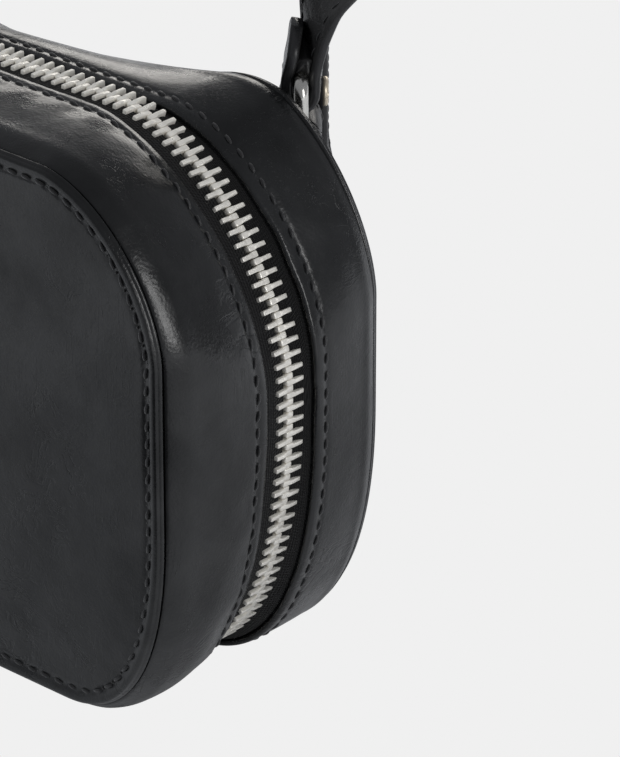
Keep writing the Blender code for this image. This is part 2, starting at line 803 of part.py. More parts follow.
def tab_rivet(name, side, finish):
    middle = Vector((side * TAB_FOOT_X, REAR_FACE_Y + 2 * GAP + TAB_THICKNESS, TAB_RIVET_Z))
    return disc(name, middle, BACK, RIVET_RADIUS, RIVET_HEIGHT, finish)


def strap_bend():
    return WIRE_RADIUS + STRAP_WIRE_CLEARANCE + STRAP_THICKNESS / 2


def strap_rivet(name, side, finish):
    out = ring_out()
    middle = Vector((RING_X, RING_Y, STRAP_RIVET_Z)) + out * (strap_bend() + STRAP_THICKNESS / 2 + 2 * GAP)
    return disc(name, mirrored(middle, side), mirrored(out, side), RIVET_RADIUS, RIVET_HEIGHT, finish)


def edge_station(row):
    """Middle and width direction of a layer above the ring, from its two edges."""
    rise, far, near, width = row
    out = ring_out()
    bend = strap_bend()
    z = mix(RING_TOP_Z, STRAP_TIP_Z, rise)
    middle = Vector((RING_X, RING_Y, z)) + out * bend * (far + near) / 2
    wide = ring_wide() * 2 * STRAP_HALF_WIDTH + out * bend * (near - far)
    return middle, wide.normalized() * width


def strap_start(fall_x):
    """Right end of the strap: tip, fold round the ring, rise, curl and fall to the floor stack."""
    wide = ring_wide()
    out = ring_out()
    centre = Vector((RING_X, RING_Y, RING_TOP_Z - STRAP_SLACK))
    bend = strap_bend()
    path = [edge_station(row) for row in TIP_EDGE_SHARES]
    for i in range(9):
        angle = math.pi + math.pi * i / 8
        path.append((centre + out * bend * math.cos(angle) + UP * bend * math.sin(angle), wide))
    path.extend(edge_station(row) for row in MAIN_EDGE_SHARES)
    low, low_wide = path[-1]
    high = Vector((STRAP_RISE_X, STRAP_RISE_Y, STRAP_TWIST_Z))
    for i in range(1, 5):
        share = i / 4
        point = Vector((mix(low.x, high.x, ease(share)), mix(low.y, high.y, ease(share)),
                        mix(low.z, high.z, share)))
        path.append((point, mix(low_wide, RIGHT, ease(share)).normalized()))
    path.append((Vector((high.x, high.y, STRAP_CURL_Z)), RIGHT))
    for i in range(1, 9):
        angle = math.pi - math.pi * i / 8
        y = high.y + STRAP_CURL_RADIUS * (1 + math.cos(angle))
        path.append((Vector((high.x, y, STRAP_CURL_Z + STRAP_CURL_RADIUS * math.sin(angle))), RIGHT))
    back_y = high.y + 2 * STRAP_CURL_RADIUS
    for i in range(1, 7):
        share = i / 6
        x = mix(high.x, fall_x, ease(share))
        z = mix(STRAP_CURL_Z, STRAP_SLANT_Z, share)
        turn = -RING_YAW * ease(share)
        slope = (fall_x - high.x) / (STRAP_SLANT_Z - STRAP_CURL_Z) * ease_slope(share)
        along = Vector((slope, 0, 1)).normalized()
        wide = Vector((math.cos(turn), -math.sin(turn), 0))
        path.append((Vector((x, back_y, z)), (wide - along * wide.dot(along)).normalized()))
    for i in range(7):
        share = i / 6
        z = mix(STRAP_TURN_TOP_Z, STRAP_TURN_LOW_Z, share)
        turn = mix(-RING_YAW, math.pi / 2, ease(share))
        path.append((Vector((fall_x, back_y, z)), Vector((math.cos(turn), -math.sin(turn), 0))))
    return path


def strap_stack(back_y):
    """Level runs on the floor, folded over at both ends."""
    path = []
    wide = -BACK
    radius = STRAP_BEND_RADIUS
    floor = STRAP_THICKNESS / 2
    for i in range(1, 7):
        angle = math.pi / 2 * i / 6
        path.append((Vector((STRAP_FALL_X - radius * (1 - math.cos(angle)), back_y,
                             floor + radius * (1 - math.sin(angle)))), wide))
    for run in range(STRAP_RUNS):
        z = floor + run * STRAP_LEVEL
        way = -1 if run % 2 == 0 else 1
        if run == STRAP_RUNS - 1:
            break
        path.append((Vector((0, back_y, z)), wide))
        path.append((Vector((way * STRAP_FOLD_X, back_y, z)), wide))
        fold = STRAP_LEVEL / 2
        for i in range(1, 6):
            angle = math.pi * i / 6
            path.append((Vector((way * (STRAP_FOLD_X + fold * math.sin(angle)), back_y,
                                 z + fold * (1 - math.cos(angle)))), wide))
        path.append((Vector((way * STRAP_FOLD_X, back_y, z + STRAP_LEVEL)), wide))
    last = floor + (STRAP_RUNS - 1) * STRAP_LEVEL
    path.append((Vector((0, back_y, last)), wide))
    for i in range(7):
        angle = math.pi / 2 * i / 6
        path.append((Vector((-STRAP_FALL_LEFT_X + radius * (1 - math.sin(angle)), back_y,
                             last + radius * (1 - math.cos(angle)))), wide))
    return path


def strap(finish):
    right = strap_start(STRAP_FALL_X)
    back_y = right[-1][0].y
    left = [(mirrored(point, -1), mirrored(wide, -1)) for point, wide in reversed(strap_start(STRAP_FALL_LEFT_X))]
    path = right + strap_stack(back_y) + left
    flips = []
    last = None
    for point, wide in path:
        if last is not None and wide.dot(last) < 0:
            wide = -wide
        last = wide
        flips.append((point, wide))
    return ribbon("strap", flips, STRAP_HALF_WIDTH, STRAP_THICKNESS, finish)


def build():
    clear_scene()
    leather = material("bag_leather", (0.030, 0.031, 0.034), 0, 0.42)
    strap_leather = material("strap_leather", (0.034, 0.035, 0.038), 0, 0.45)
    metal = material("silver_metal", (0.70, 0.69, 0.66), 1, 0.22)
    tape = material("zip_tape_cloth", (0.012, 0.012, 0.013), 0, 0.90)
    lining = material("lining_cloth", (0.045, 0.045, 0.050), 0, 0.85)
    stiffener = material("stiffener_board", (0.30, 0.29, 0.27), 0, 0.80)
    front_panel(leather)
    front_board(stiffener)
    front_gusset(leather)
    front_lining(lining)
    zip_tape("front_zip_tape", -1, tape)
    zip_teeth("front_zip_teeth", -1, FRONT_PHASE_SHARE, metal)
    rear_panel(leather)
    rear_board(stiffener)
    rear_gusset(leather)
    rear_lining(lining)
    slip_pocket(lining)
    zip_tape("rear_zip_tape", 1, tape)
    zip_teeth("rear_zip_teeth", 1, REAR_PHASE_SHARE, metal)
    base_panel(leather)
    zip_stop("zip_stop_right", 1, metal)
    zip_stop("zip_stop_left", -1, metal)
    slider("slider_a", SLIDER_A_X, -1, metal)
    slider("slider_b", SLIDER_B_X, 1, metal)
    pull("pull_a", SLIDER_A_X, 1, metal)
    pull("pull_b", SLIDER_B_X, -1, metal)
    for label, side in (("right", 1), ("left", -1)):
        strap_tab("chape_" + label, side, strap_leather)
        tab_rivet("chape_rivet_" + label, side, metal)
        wire_ring("ring_" + label, side, metal)
        strap_rivet("strap_rivet_" + label, side, metal)
    strap(strap_leather)


build()
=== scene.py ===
import math

import bmesh
import bpy
import numpy as np
from mathutils import Matrix, Vector


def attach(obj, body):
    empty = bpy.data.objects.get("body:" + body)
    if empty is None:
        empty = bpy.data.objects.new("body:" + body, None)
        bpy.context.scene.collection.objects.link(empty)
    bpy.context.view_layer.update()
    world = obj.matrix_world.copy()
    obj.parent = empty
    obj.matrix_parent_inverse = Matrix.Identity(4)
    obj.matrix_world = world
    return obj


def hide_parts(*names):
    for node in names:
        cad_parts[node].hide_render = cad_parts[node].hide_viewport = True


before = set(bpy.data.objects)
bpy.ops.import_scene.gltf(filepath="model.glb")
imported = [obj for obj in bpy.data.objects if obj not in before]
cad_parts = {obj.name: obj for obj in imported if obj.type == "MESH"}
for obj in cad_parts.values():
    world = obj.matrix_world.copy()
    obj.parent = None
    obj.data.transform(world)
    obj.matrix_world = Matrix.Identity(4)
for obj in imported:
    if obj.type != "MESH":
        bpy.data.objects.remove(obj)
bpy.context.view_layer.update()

# The shapes are worked out in millimetres; camera, bumps, bevels, floor and lights are in metres
MM = 0.001

# Objects and the camera


def new_object(name, data):
    made = bpy.data.objects.new(name, data)
    bpy.context.collection.objects.link(made)
    return made


def make_camera():
    right = Vector((0.73941, 0.67326, 0.0))
    up = Vector((-0.29578, 0.32484, 0.89833))
    back = right.cross(up).normalized()
    turn = Matrix((right, up, back)).transposed().to_4x4()
    data = bpy.data.cameras.new("camera")
    data.lens = 251.4
    data.sensor_width = 36.0
    data.clip_end = 20.0
    camera = new_object("camera", data)
    camera.matrix_world = Matrix.Translation((0.7613, -0.7240, 0.5573)) @ turn
    bpy.context.scene.camera = camera


make_camera()
bpy.context.scene.view_settings.view_transform = "Standard"

# Body sizes, which give the same outlines as the CAD
HALF_WIDTH = 98.0
ZIP_TOP = 127.4
CORNER_ACROSS = 48.9
CORNER_DOWN = 52.5
CORNER_POWER = 1.73
LOW_ACROSS = 42.0
LOW_UP = 73.0
LOW_POWER = 2.32
FRONT_FACE = -37.5
FRONT_FOLD = -8.3
REAR_FACE = 28.8
REAR_FOLD = 5.7
PANEL = 1.8
LEATHER = 1.5
SAG = 16.5
SAG_REACH = 70.0
SAG_POWER = 1.25
FRONT_NARROWING = 3.4
FRONT_DROP = 1.1
FRONT_RISE = 4.7
FRONT_SWELL = 1.2
REAR_WIDENING = 0.9
REAR_NARROWING = 3.2
REAR_DROP = 2.9
REAR_RISE = 5.1
REAR_SWELL = 0.6
LINING_START = 15.0
TAPE_UNDER = 6.2
TAPE_OUTSIDE = LEATHER + 0.35
TAPE_INSIDE = LEATHER + 0.95
TAPE_HALF = 0.3
TEETH_INSET = 1.1
TOOTH_DEPTH = 2.4
TOOTH_BACK = 3.87
TOOTH_SPAN = 4.87
PITCH = 3.0
CHAIN_SPREAD = 3.2
SPREAD_MIDDLE = -22.0
SPREAD_FLAT = 6.5
SPREAD_RAMP = 9.0

# Fold, rim and stitches
FOLD_RADIUS = 0.85
RIM = 12.0
STITCH = 4.0
STITCH_LENGTH = 2.75
STITCH_SLANT = 0.16
FOLD_STITCH_INSET = 3.3
PANEL_STITCH_INSET = 3.4


def wave(x, seed, low=1, high=9):
    """Smooth repeatable noise round a loop, x from 0 to 1."""
    random = np.random.RandomState(seed)
    total = np.zeros_like(np.asarray(x, float))
    for k in range(low, high + 1):
        total += random.normal() / math.sqrt(high - low + 1) * np.sin(2 * np.pi * (k * x + random.rand()))
    return total


def ease(x):
    x = np.clip(x, 0, 1)
    return x * x * (3 - 2 * x)


def unit_rows(v):
    return v / np.linalg.norm(v, axis=1)[:, None]


def bell(x, middle, width):
    return np.exp(-((x - middle) / width) ** 2)


def half_outline(width, top, low, share):
    across = CORNER_ACROSS * share
    down = CORNER_DOWN * share
    low_across = LOW_ACROSS * share
    low_up = LOW_UP * share
    steps = np.linspace(0, 1, 31)[:-1]
    parts = [np.stack([(width - across) * steps, np.full_like(steps, top)], 1)]
    angle = np.linspace(0, np.pi / 2, 61)[:-1]
    parts.append(np.stack([width - across + across * np.sin(angle) ** (2 / CORNER_POWER),
                           top - down + down * np.cos(angle) ** (2 / CORNER_POWER)], 1))
    side = np.linspace(0, 1, 11)[:-1]
    parts.append(np.stack([np.full_like(side, width), top - down + (low + low_up - top + down) * side], 1))
    parts.append(np.stack([width - low_across + low_across * np.cos(angle) ** (2 / LOW_POWER),
                           low + low_up - low_up * np.sin(angle) ** (2 / LOW_POWER)], 1))
    steps = np.linspace(0, 1, 26)
    parts.append(np.stack([(width - low_across) * (1 - steps), np.full_like(steps, low)], 1))
    return np.concatenate(parts)


def sag(x):
    return SAG * (1 - np.minimum(np.abs(x) / SAG_REACH, 1) ** SAG_POWER)


def loop(width, top, low, share, sag_share=0.0):
    """Closed outline in x and z with its inward normals and distance round it."""
    half = half_outline(width, top, low, share)
    half[:, 1] -= sag_share * sag(half[:, 0]) * np.maximum(half[:, 1] - top + CORNER_DOWN, 0) / CORNER_DOWN
    full = np.concatenate([half, half[-2:0:-1] * (-1, 1)])
    along = unit_rows(np.roll(full, -1, 0) - np.roll(full, 1, 0))
    along = unit_rows((np.roll(along, 1, 0) + 2 * along + np.roll(along, -1, 0)) / 4)
    inward = np.stack([along[:, 1], -along[:, 0]], 1)
    step = np.linalg.norm(np.roll(full, -1, 0) - full, axis=1)
    walked = np.concatenate([[0], np.cumsum(step)[:-1]])
    return full, inward, walked, step.sum()


def front_outline(y):
    share = (y - FRONT_FOLD) / (FRONT_FACE - FRONT_FOLD)
    clipped = min(max(share, 0), 1)
    swell = FRONT_SWELL * math.sin(math.pi * clipped)
    return loop(HALF_WIDTH - FRONT_NARROWING * clipped ** 2 + swell,
                ZIP_TOP - FRONT_DROP * clipped ** 2 + swell, FRONT_RISE * clipped ** 4, 1 - 0.32 * clipped)


def rear_outline(y):
    share = (y - REAR_FOLD) / (REAR_FACE - REAR_FOLD)
    clipped = min(max(share, 0), 1)
    swell = REAR_SWELL * math.sin(math.pi * clipped)
    return loop(HALF_WIDTH + REAR_WIDENING - REAR_NARROWING * clipped + swell,
                ZIP_TOP - REAR_DROP + REAR_RISE * clipped + swell, 0.0, 0.91 - 0.07 * clipped, clipped ** 1.6)


def upright(flat, y):
    """Points at depth y from points in x and z."""
    return np.stack([flat[:, 0], np.broadcast_to(y, len(flat)), flat[:, 1]], 1)


def place(outline, y, inset, lift=0.0):
    """Points of one row: the outline moved inward, at depth y."""
    return upright(outline[0] + outline[1] * (np.asarray(inset) - lift)[..., None], y)


def walk(line):
    """Distance along a line at each of its points."""
    step = np.linalg.norm(np.diff(line, axis=0), axis=1)
    return np.concatenate([[0], np.cumsum(step)])


def read_off(where, walked, values):
    return np.stack([np.interp(where, walked, values[:, i]) for i in range(3)], 1)


SIDES = (("right", 1), ("left", -1))

# Meshes


def link(name, vertices, faces, material, flat=None):
    mesh = bpy.data.meshes.new(name)
    vertices = np.asarray(vertices, float) * MM
    mesh.from_pydata(vertices.tolist(), [], faces)
    if flat is not None:
        layer = mesh.uv_layers.new(name="flat")
        index = np.empty(len(mesh.loops), int)
        mesh.loops.foreach_get("vertex_index", index)
        layer.data.foreach_set("uv", np.asarray(flat, float)[index].ravel())
    mesh.shade_smooth()
    mesh.materials.append(material)
    return new_object(name, mesh)


def grid_faces(rows, columns, wrap_rows, wrap_columns, first=0):
    faces = []
    for i in range(rows if wrap_rows else rows - 1):
        a = first + i * columns
        b = first + ((i + 1) % rows) * columns
        for k in range(columns if wrap_columns else columns - 1):
            n = (k + 1) % columns
            faces.append((a + k, b + k, b + n, a + n))
    return faces


def cap_faces(first, size, count):
    """The two end faces of a tube of count rings."""
    last = first + (count - 1) * size
    return [tuple(range(first, first + size)), tuple(range(last, last + size))]


def outward(made):
    """Turns every face outward."""
    work = bmesh.new()
    work.from_mesh(made.data)
    bmesh.ops.recalc_face_normals(work, faces=work.faces)
    work.to_mesh(made.data)
    work.free()
    return made


def sheet_mesh(name, rows, material, wrap_rows=False, wrap_columns=True, flat=None, ends=False):
    rows = np.asarray(rows)
    count, size = rows.shape[:2]
    faces = grid_faces(count, size, wrap_rows, wrap_columns)
    if ends:
        faces += cap_faces(0, size, count)
    if flat is not None:
        flat = np.asarray(flat).reshape(-1, 2)
    return outward(link(name, rows.reshape(-1, 3), faces, material, flat))


# Materials


def shade(tone, share):
    return tuple(c * share for c in tone) + (1.0,)


class Build:
    """Short way to add nodes to one material."""

    def __init__(self, name):
        self.material = bpy.data.materials.new(name)
        self.material.use_nodes = True
        self.tree = self.material.node_tree
        self.shader = self.tree.nodes["Principled BSDF"]

    def add(self, kind, settings=None, **inputs):
        made = self.tree.nodes.new(kind)
        for key, value in (settings or {}).items():
            setattr(made, key, value)
        for key, value in inputs.items():
            self.join(value, made.inputs[key.replace("_", " ")])
        return made

    def object_place(self):
        return self.add("ShaderNodeTexCoord").outputs["Object"]

    def join(self, value, socket):
        if isinstance(value, bpy.types.NodeSocket):
            self.tree.links.new(value, socket)
        else:
            socket.default_value = value

    def math(self, operation, a, b=0.0):
        made = self.add("ShaderNodeMath", {"operation": operation})
        self.join(a, made.inputs[0])
        self.join(b, made.inputs[1])
        return made.outputs[0]

    def times(self, a, b):
        return self.math("MULTIPLY", a, b)

    def plus(self, a, b):
        return self.math("ADD", a, b)

    def ramp(self, value, low, high, out_low=0.0, out_high=1.0):
        return self.add("ShaderNodeMapRange", Value=value, From_Min=low, From_Max=high, To_Min=out_low,
                        To_Max=out_high).outputs[0]

    def thin_lines(self, value, width):
        """Lines where a noise passes its middle."""
        away = self.math("ABSOLUTE", self.math("SUBTRACT", value, 0.5))
        return self.ramp(away, 0.0, width, 1.0, 0.0)

    def blend_colour(self, share, a, b):
        made = self.add("ShaderNodeMix", {"data_type": "RGBA"}, Factor=share)
        self.join(a, made.inputs[6])
        self.join(b, made.inputs[7])
        return made.outputs[2]

    def tones(self, share, tone, low, high):
        return self.blend_colour(share, shade(tone, low), shade(tone, high))

    def noise(self, where, scale, detail=3.0, rough=0.55, distort=0.0):
        return self.add("ShaderNodeTexNoise", Vector=where, Scale=scale, Detail=detail, Roughness=rough,
                        Distortion=distort).outputs["Fac"]

    def cells(self, where, scale):
        return self.add("ShaderNodeTexVoronoi", Vector=where, Scale=scale).outputs["Distance"]

    def stretch(self, where, scale, turn=(0.0, 0.0, 0.0)):
        return self.add("ShaderNodeMapping", Vector=where, Scale=scale, Rotation=turn).outputs[0]

    def bump(self, height, distance, normal=None):
        made = self.add("ShaderNodeBump", Height=height, Distance=distance, Strength=1.0)
        if normal is not None:
            self.join(normal, made.inputs["Normal"])
        return made.outputs[0]

    def set(self, **values):
        for key, value in values.items():
            self.join(value, self.shader.inputs[key.replace("_", " ")])
        return self.material

    def grained(self, grain, tone, light, smooth, rough, depth):
        """Material whose tone, roughness and relief all follow one noise."""
        return self.set(Base_Color=self.tones(grain, tone, 0.8, light), Normal=self.bump(grain, depth),
                        Roughness=self.ramp(grain, 0.3, 0.7, smooth, rough))


def leather_material(name, tone, roughness, grain, creases, scratches):
    b = Build(name)
    where = b.object_place()
    pores = b.cells(where, 1500.0)
    fine = b.noise(where, 900.0, 4.0)
    soft = b.noise(where, 55.0, 3.0)
    fold = b.noise(b.stretch(where, (1.0, 0.35, 1.0), (0.3, 0.2, 0.5)), 130.0, 4.0, 0.6, 1.4)
    lines = b.thin_lines(fold, 0.035)
    where_lined = b.ramp(b.noise(where, 28.0, 2.0), 0.50, 0.68)
    lines = b.times(lines, where_lined)
    hair = b.noise(b.stretch(where, (1.0, 1.0, 0.05), (0.9, 0.5, 0.2)), 520.0, 2.0)
    hair = b.thin_lines(hair, 0.010)
    hair_where = b.ramp(b.noise(where, 42.0, 2.0), 0.53, 0.66)
    hair = b.times(hair, hair_where)
    normal = b.bump(soft, 0.0006)
    normal = b.bump(b.plus(b.times(fine, 0.6), b.times(pores, 0.5)), 0.00004 * grain, normal)
    normal = b.bump(b.times(lines, -1.0), 0.00010 * creases, normal)
    normal = b.bump(hair, 0.00003 * scratches, normal)
    mottled = b.ramp(b.noise(where, 24.0, 5.0, 0.62), 0.34, 0.68)
    colour = b.tones(mottled, tone, 0.50, 1.70)
    scuffed = tuple(min(c * 3.2, 1.0) for c in tone) + (1.0,)
    colour = b.blend_colour(b.times(hair, 0.35 * min(scratches, 1.0)), colour, scuffed)
    patch = b.ramp(b.noise(where, 75.0, 5.0), 0.3, 0.72, roughness - 0.07, roughness + 0.12)
    waxed = b.ramp(b.noise(where, 38.0, 5.0, 0.6), 0.34, 0.66, 0.30, 0.60)
    rough = b.plus(patch, b.times(hair, 0.12 * min(scratches, 1.0)))
    return b.set(Base_Color=colour, Roughness=rough, Normal=normal, Specular_IOR_Level=waxed,
                 Coat_Weight=0.22, Coat_Roughness=0.12, Coat_IOR=1.45)


def metal_material(name, tone, roughness, metallic=1.0):
    b = Build(name)
    where = b.object_place()
    cloudy = b.noise(where, 420.0, 4.0)
    drawn = b.noise(b.stretch(where, (1.0, 0.08, 1.0), (0.2, 0.1, 0.4)), 2600.0, 2.0)
    marks = b.thin_lines(drawn, 0.03)
    colour = b.tones(b.ramp(cloudy, 0.35, 0.7), tone, 1.0, 0.78)
    rough = b.plus(b.ramp(cloudy, 0.3, 0.7, roughness - 0.05, roughness + 0.10), b.times(marks, 0.12))
    normal = b.bump(b.plus(cloudy, b.times(marks, -0.4)), 0.000006)
    return b.set(Base_Color=colour, Metallic=metallic, Roughness=rough, Normal=normal)


def thread_material(name, tone):
    b = Build(name)
    where = b.object_place()
    ply = b.noise(b.stretch(where, (1.0, 1.0, 1.0), (0.5, 0.7, 0.2)), 3800.0, 2.0)
    fuzz = b.noise(where, 9000.0, 2.0)
    colour = b.tones(ply, tone, 0.6, 1.5)
    normal = b.bump(b.plus(ply, b.times(fuzz, 0.4)), 0.00008)
    rough = b.ramp(ply, 0.2, 0.8, 0.24, 0.50)
    return b.set(Base_Color=colour, Roughness=rough, Normal=normal, Sheen_Weight=0.2)


def woven_material(name, tone, scale, depth, sheen):
    """Twill weave laid along the flat coordinates, which are in millimetres."""
    b = Build(name)
    where = b.add("ShaderNodeUVMap", {"uv_map": "flat"}).outputs[0]
    split = b.add("ShaderNodeSeparateXYZ", Vector=where)
    along = b.times(split.outputs[0], scale)
    across = b.times(split.outputs[1], scale)
    zig = b.math("PINGPONG", across, 2.0)
    warp = b.math("SINE", b.times(b.plus(along, zig), 6.2832))
    weft = b.math("SINE", b.times(across, 12.566))
    weave = b.plus(b.times(warp, 0.6), b.times(weft, 0.4))
    place_3d = b.object_place()
    fuzz = b.noise(place_3d, 2600.0, 3.0)
    worn = b.noise(place_3d, 90.0, 3.0)
    height = b.plus(weave, b.times(fuzz, 0.8))
    colour = b.tones(b.ramp(height, -0.6, 1.4), tone, 0.55, 1.7)
    rough = b.ramp(worn, 0.3, 0.7, 0.78, 0.95)
    return b.set(Base_Color=colour, Roughness=rough, Normal=b.bump(height, depth), Sheen_Weight=sheen)


def cloth_material(name, tone):
    b = Build(name)
    where = b.object_place()
    split = b.add("ShaderNodeSeparateXYZ", Vector=where)
    first = b.math("SINE", b.times(b.plus(split.outputs[0], split.outputs[1]), 9000.0))
    second = b.math("SINE", b.times(split.outputs[2], 9000.0))
    fuzz = b.noise(where, 1800.0, 4.0)
    height = b.plus(b.times(first, second), b.times(fuzz, 1.2))
    colour = b.tones(b.ramp(height, -0.5, 1.8), tone, 0.7, 1.4)
    rough = b.ramp(b.noise(where, 60.0, 3.0), 0.3, 0.7, 0.75, 0.92)
    return b.set(Base_Color=colour, Roughness=rough, Normal=b.bump(height, 0.00010), Sheen_Weight=0.3)


def edge_material(name, tone):
    """Painted cut edge of the leather."""
    b = Build(name)
    where = b.object_place()
    return b.grained(b.noise(where, 700.0, 3.0), tone, 1.3, 0.26, 0.42, 0.00006)


def board_material(name, tone):
    b = Build(name)
    where = b.object_place()
    fibre = b.noise(b.stretch(where, (1.0, 1.0, 0.2)), 600.0, 4.0)
    return b.grained(fibre, tone, 1.15, 0.75, 0.9, 0.00005)


LEATHER_MAIN = leather_material("bag_leather_fine", (0.0058, 0.0062, 0.0066), 0.27, 1.7, 1.3, 3.0)
LEATHER_STRAP = leather_material("strap_leather_fine", (0.0075, 0.0077, 0.0084), 0.34, 1.6, 0.6, 0.5)
# Flesh side of the strap: lighter than the grain side in its own right, with its colour raised further as
# painted light to lift the shade on the inner faces and the filler wedge
LEATHER_FLESH_PAINTED_LIGHT = leather_material("strap_flesh_painted_light", (0.021, 0.021, 0.0215), 0.46, 3.0, 1.6, 1.0)
EDGE_PAINT = edge_material("edge_paint", (0.012, 0.012, 0.013))
THREAD = thread_material("black_thread", (0.011, 0.011, 0.012))
# Needle holes: near-black caps, painted shade standing in for the shaded recess of each hole
HOLE_SHADE = thread_material("stitch_hole_painted_shade", (0.0008, 0.0008, 0.0009))
TEETH_METAL = metal_material("teeth_metal", (0.97, 0.94, 0.87), 0.29, 0.42)
RIVET_METAL = metal_material("rivet_metal", (0.86, 0.76, 0.60), 0.30, 0.8)
FITTING_METAL = metal_material("fitting_metal", (0.80, 0.785, 0.74), 0.17)
TAPE_CLOTH = woven_material("tape_cloth", (0.0014, 0.0014, 0.0016), 1.15, 0.00030, 0.02)
LINING_CLOTH = cloth_material("lining_cloth_fine", (0.030, 0.030, 0.034))
BOARD = board_material("board_fibre", (0.28, 0.27, 0.25))

# Leather shells


def front_lift(y, walked, length):
    """How far the front strip's face stands out from the plain outline."""
    turn = walked / length
    from_fold = FRONT_FOLD - y
    from_panel = y - (FRONT_FACE + PANEL)
    beat = np.cos(2 * np.pi * round(length / STITCH) * turn)
    lift = -0.38 * bell(from_fold, FOLD_STITCH_INSET, 0.85) * (0.66 + 0.34 * beat)
    lift += 0.10 * bell(from_fold, 1.5, 0.9) * (1 - 0.45 * beat)
    lift += 0.10 * wave(turn, 11, 9, 26) * np.exp(-from_fold / 5.0)
    lift += 0.22 * wave(turn, 12, 20, 60) * bell(from_fold, 6.0, 3.5)
    lift += 0.45 * wave(turn, 13, 3, 12) * bell(from_fold, 14.0, 7.0)
    lift -= 0.9 * np.exp(-from_panel / 1.6)
    lift += 0.35 * bell(from_panel, 5.0, 2.6)
    return lift


def rear_lift(y, walked, length):
    turn = walked / length
    from_fold = y - REAR_FOLD
    from_panel = REAR_FACE - PANEL - y
    beat = np.cos(2 * np.pi * round(length / STITCH) * turn)
    lift = -0.32 * bell(from_fold, FOLD_STITCH_INSET, 0.75) * (0.66 + 0.34 * beat)
    lift += 0.07 * bell(from_fold, 1.5, 0.9) * (1 - 0.45 * beat)
    lift += 0.05 * wave(turn, 21, 9, 26) * np.exp(-from_fold / 5.0)
    lift += 0.38 * wave(turn, 22, 3, 12) * bell(from_fold, 11.0, 6.0)
    lift -= 0.5 * np.exp(-from_panel / 1.2)
    lift += 0.25 * bell(from_panel, 3.2, 1.6)
    return lift


def calm_base(lift, outline):
    """Fades the outward lift towards the base."""
    return np.where(lift > 0, lift * ease(outline[0][:, 1] / 12.0), lift)


def lifted(outline, lift_at, y):
    return calm_base(lift_at(y, outline[2], outline[3]), outline)


def shell_rows(outline_at, lift_at, fold, face, side):
    """Section rows of one strip: outer face, rolled fold, inner face."""
    rows = []
    edge = face - side * (PANEL + 0.3)
    start = fold + side * FOLD_RADIUS
    for share in np.concatenate([np.linspace(0, 0.25, 14)[:-1], np.linspace(0.25, 0.70, 14)[:-1],
                                 np.linspace(0.70, 1, 26)]):
        y = edge + (start - edge) * share
        outline = outline_at(y)
        lift = lifted(outline, lift_at, y)
        rows.append(place(outline, y, 0.0, lift))
    wobble_seed = 31 if side < 0 else 32
    for step in range(1, 8):
        angle = math.pi * step / 8
        y = start - side * FOLD_RADIUS * math.sin(angle)
        outline = outline_at(start)
        lift = lifted(outline, lift_at, start) * math.cos(angle / 2) ** 2
        turn = outline[2] / outline[3]
        wobble = 0.07 * wave(turn, wobble_seed, 12, 50) * math.sin(angle)
        inset = FOLD_RADIUS * (1 - math.cos(angle))
        rows.append(place(outline, y + wobble, inset, lift))
    for share in np.linspace(0, 1, 9):
        y = start + (edge - start) * share
        rows.append(place(outline_at(y), y, 2 * FOLD_RADIUS - 0.2 * min(share * 4, 1)))
    return rows


def leather_strip(name, outline_at, lift_at, fold, face, side, body, node):
    made = sheet_mesh(name, shell_rows(outline_at, lift_at, fold, face, side), LEATHER_MAIN, wrap_rows=True)
    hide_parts(node)
    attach(made, body)


leather_strip("front_strip_leather", front_outline, front_lift, FRONT_FOLD, FRONT_FACE, -1, "front_shell",
              "front_gusset")
leather_strip("rear_strip_leather", rear_outline, rear_lift, REAR_FOLD, REAR_FACE, 1, "rear_shell",
              "rear_gusset")

# Panels


def panel_face(distance, turn, count, side, raised):
    """Height of a panel's outer face at a distance in from its border."""
    beat = np.cos(2 * np.pi * count * turn)
    height = 0.38 * bell(distance, 1.3, 1.1) - 0.9 * np.exp(-distance / 0.35)
    height = height - 0.42 * bell(distance, PANEL_STITCH_INSET, 0.85) * (0.75 + 0.25 * beat)
    height = height + raised * ease((distance - 3.0) / 26.0)
    height = height + 0.05 * wave(turn, 41 + side, 6, 30) * bell(distance, 5.0, 3.0)
    return height


def panel_mesh(name, outline, face, side, raised, body, node):
    """Padded panel with a raised rim, a stitched groove and a soft middle."""
    full, inward, walked, length = outline
    turn = walked / length
    count = round(length / STITCH)
    middle = full.mean(0)
    rows = []
    for distance in (8.0, 4.0, 1.5, 0.4):
        flat = full + inward * distance
        rows.append(upright(flat, face - side * PANEL))
    for step in range(6):
        angle = math.pi / 2 * step / 5
        flat = full + inward * 0.5 * (1 - math.cos(angle))
        depth = face - side * (PANEL - 0.4 - (PANEL - 0.9) * step / 5)
        rows.append(upright(flat, depth))
    distances = np.concatenate([np.linspace(0.55, 6.0, 30), np.linspace(6.6, RIM, 8)])
    for distance in distances:
        flat = full + inward * distance
        height = panel_face(distance, turn, count, side, raised)
        rows.append(upright(flat, face + side * height))
    edge = full + inward * RIM
    for share in np.linspace(0.96, 0.02, 26):
        flat = middle + (edge - middle) * share
        away = RIM + (1 - share) * 45.0
        height = panel_face(away, turn, count, side, raised)
        height = height + 0.10 * np.sin(flat[:, 0] / 19.0 + 1.0) * np.sin(flat[:, 1] / 23.0)
        rows.append(upright(flat, face + side * height))
    made = sheet_mesh(name, rows, LEATHER_MAIN, ends=True)
    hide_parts(node)
    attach(made, body)


panel_mesh("front_panel_leather", front_outline(FRONT_FACE), FRONT_FACE, -1, 1.1, "front_shell",
           "front_panel")
panel_mesh("rear_panel_leather", rear_outline(REAR_FACE), REAR_FACE - 0.5, 1, 0.1, "rear_shell",
           "rear_panel")

# Stitches


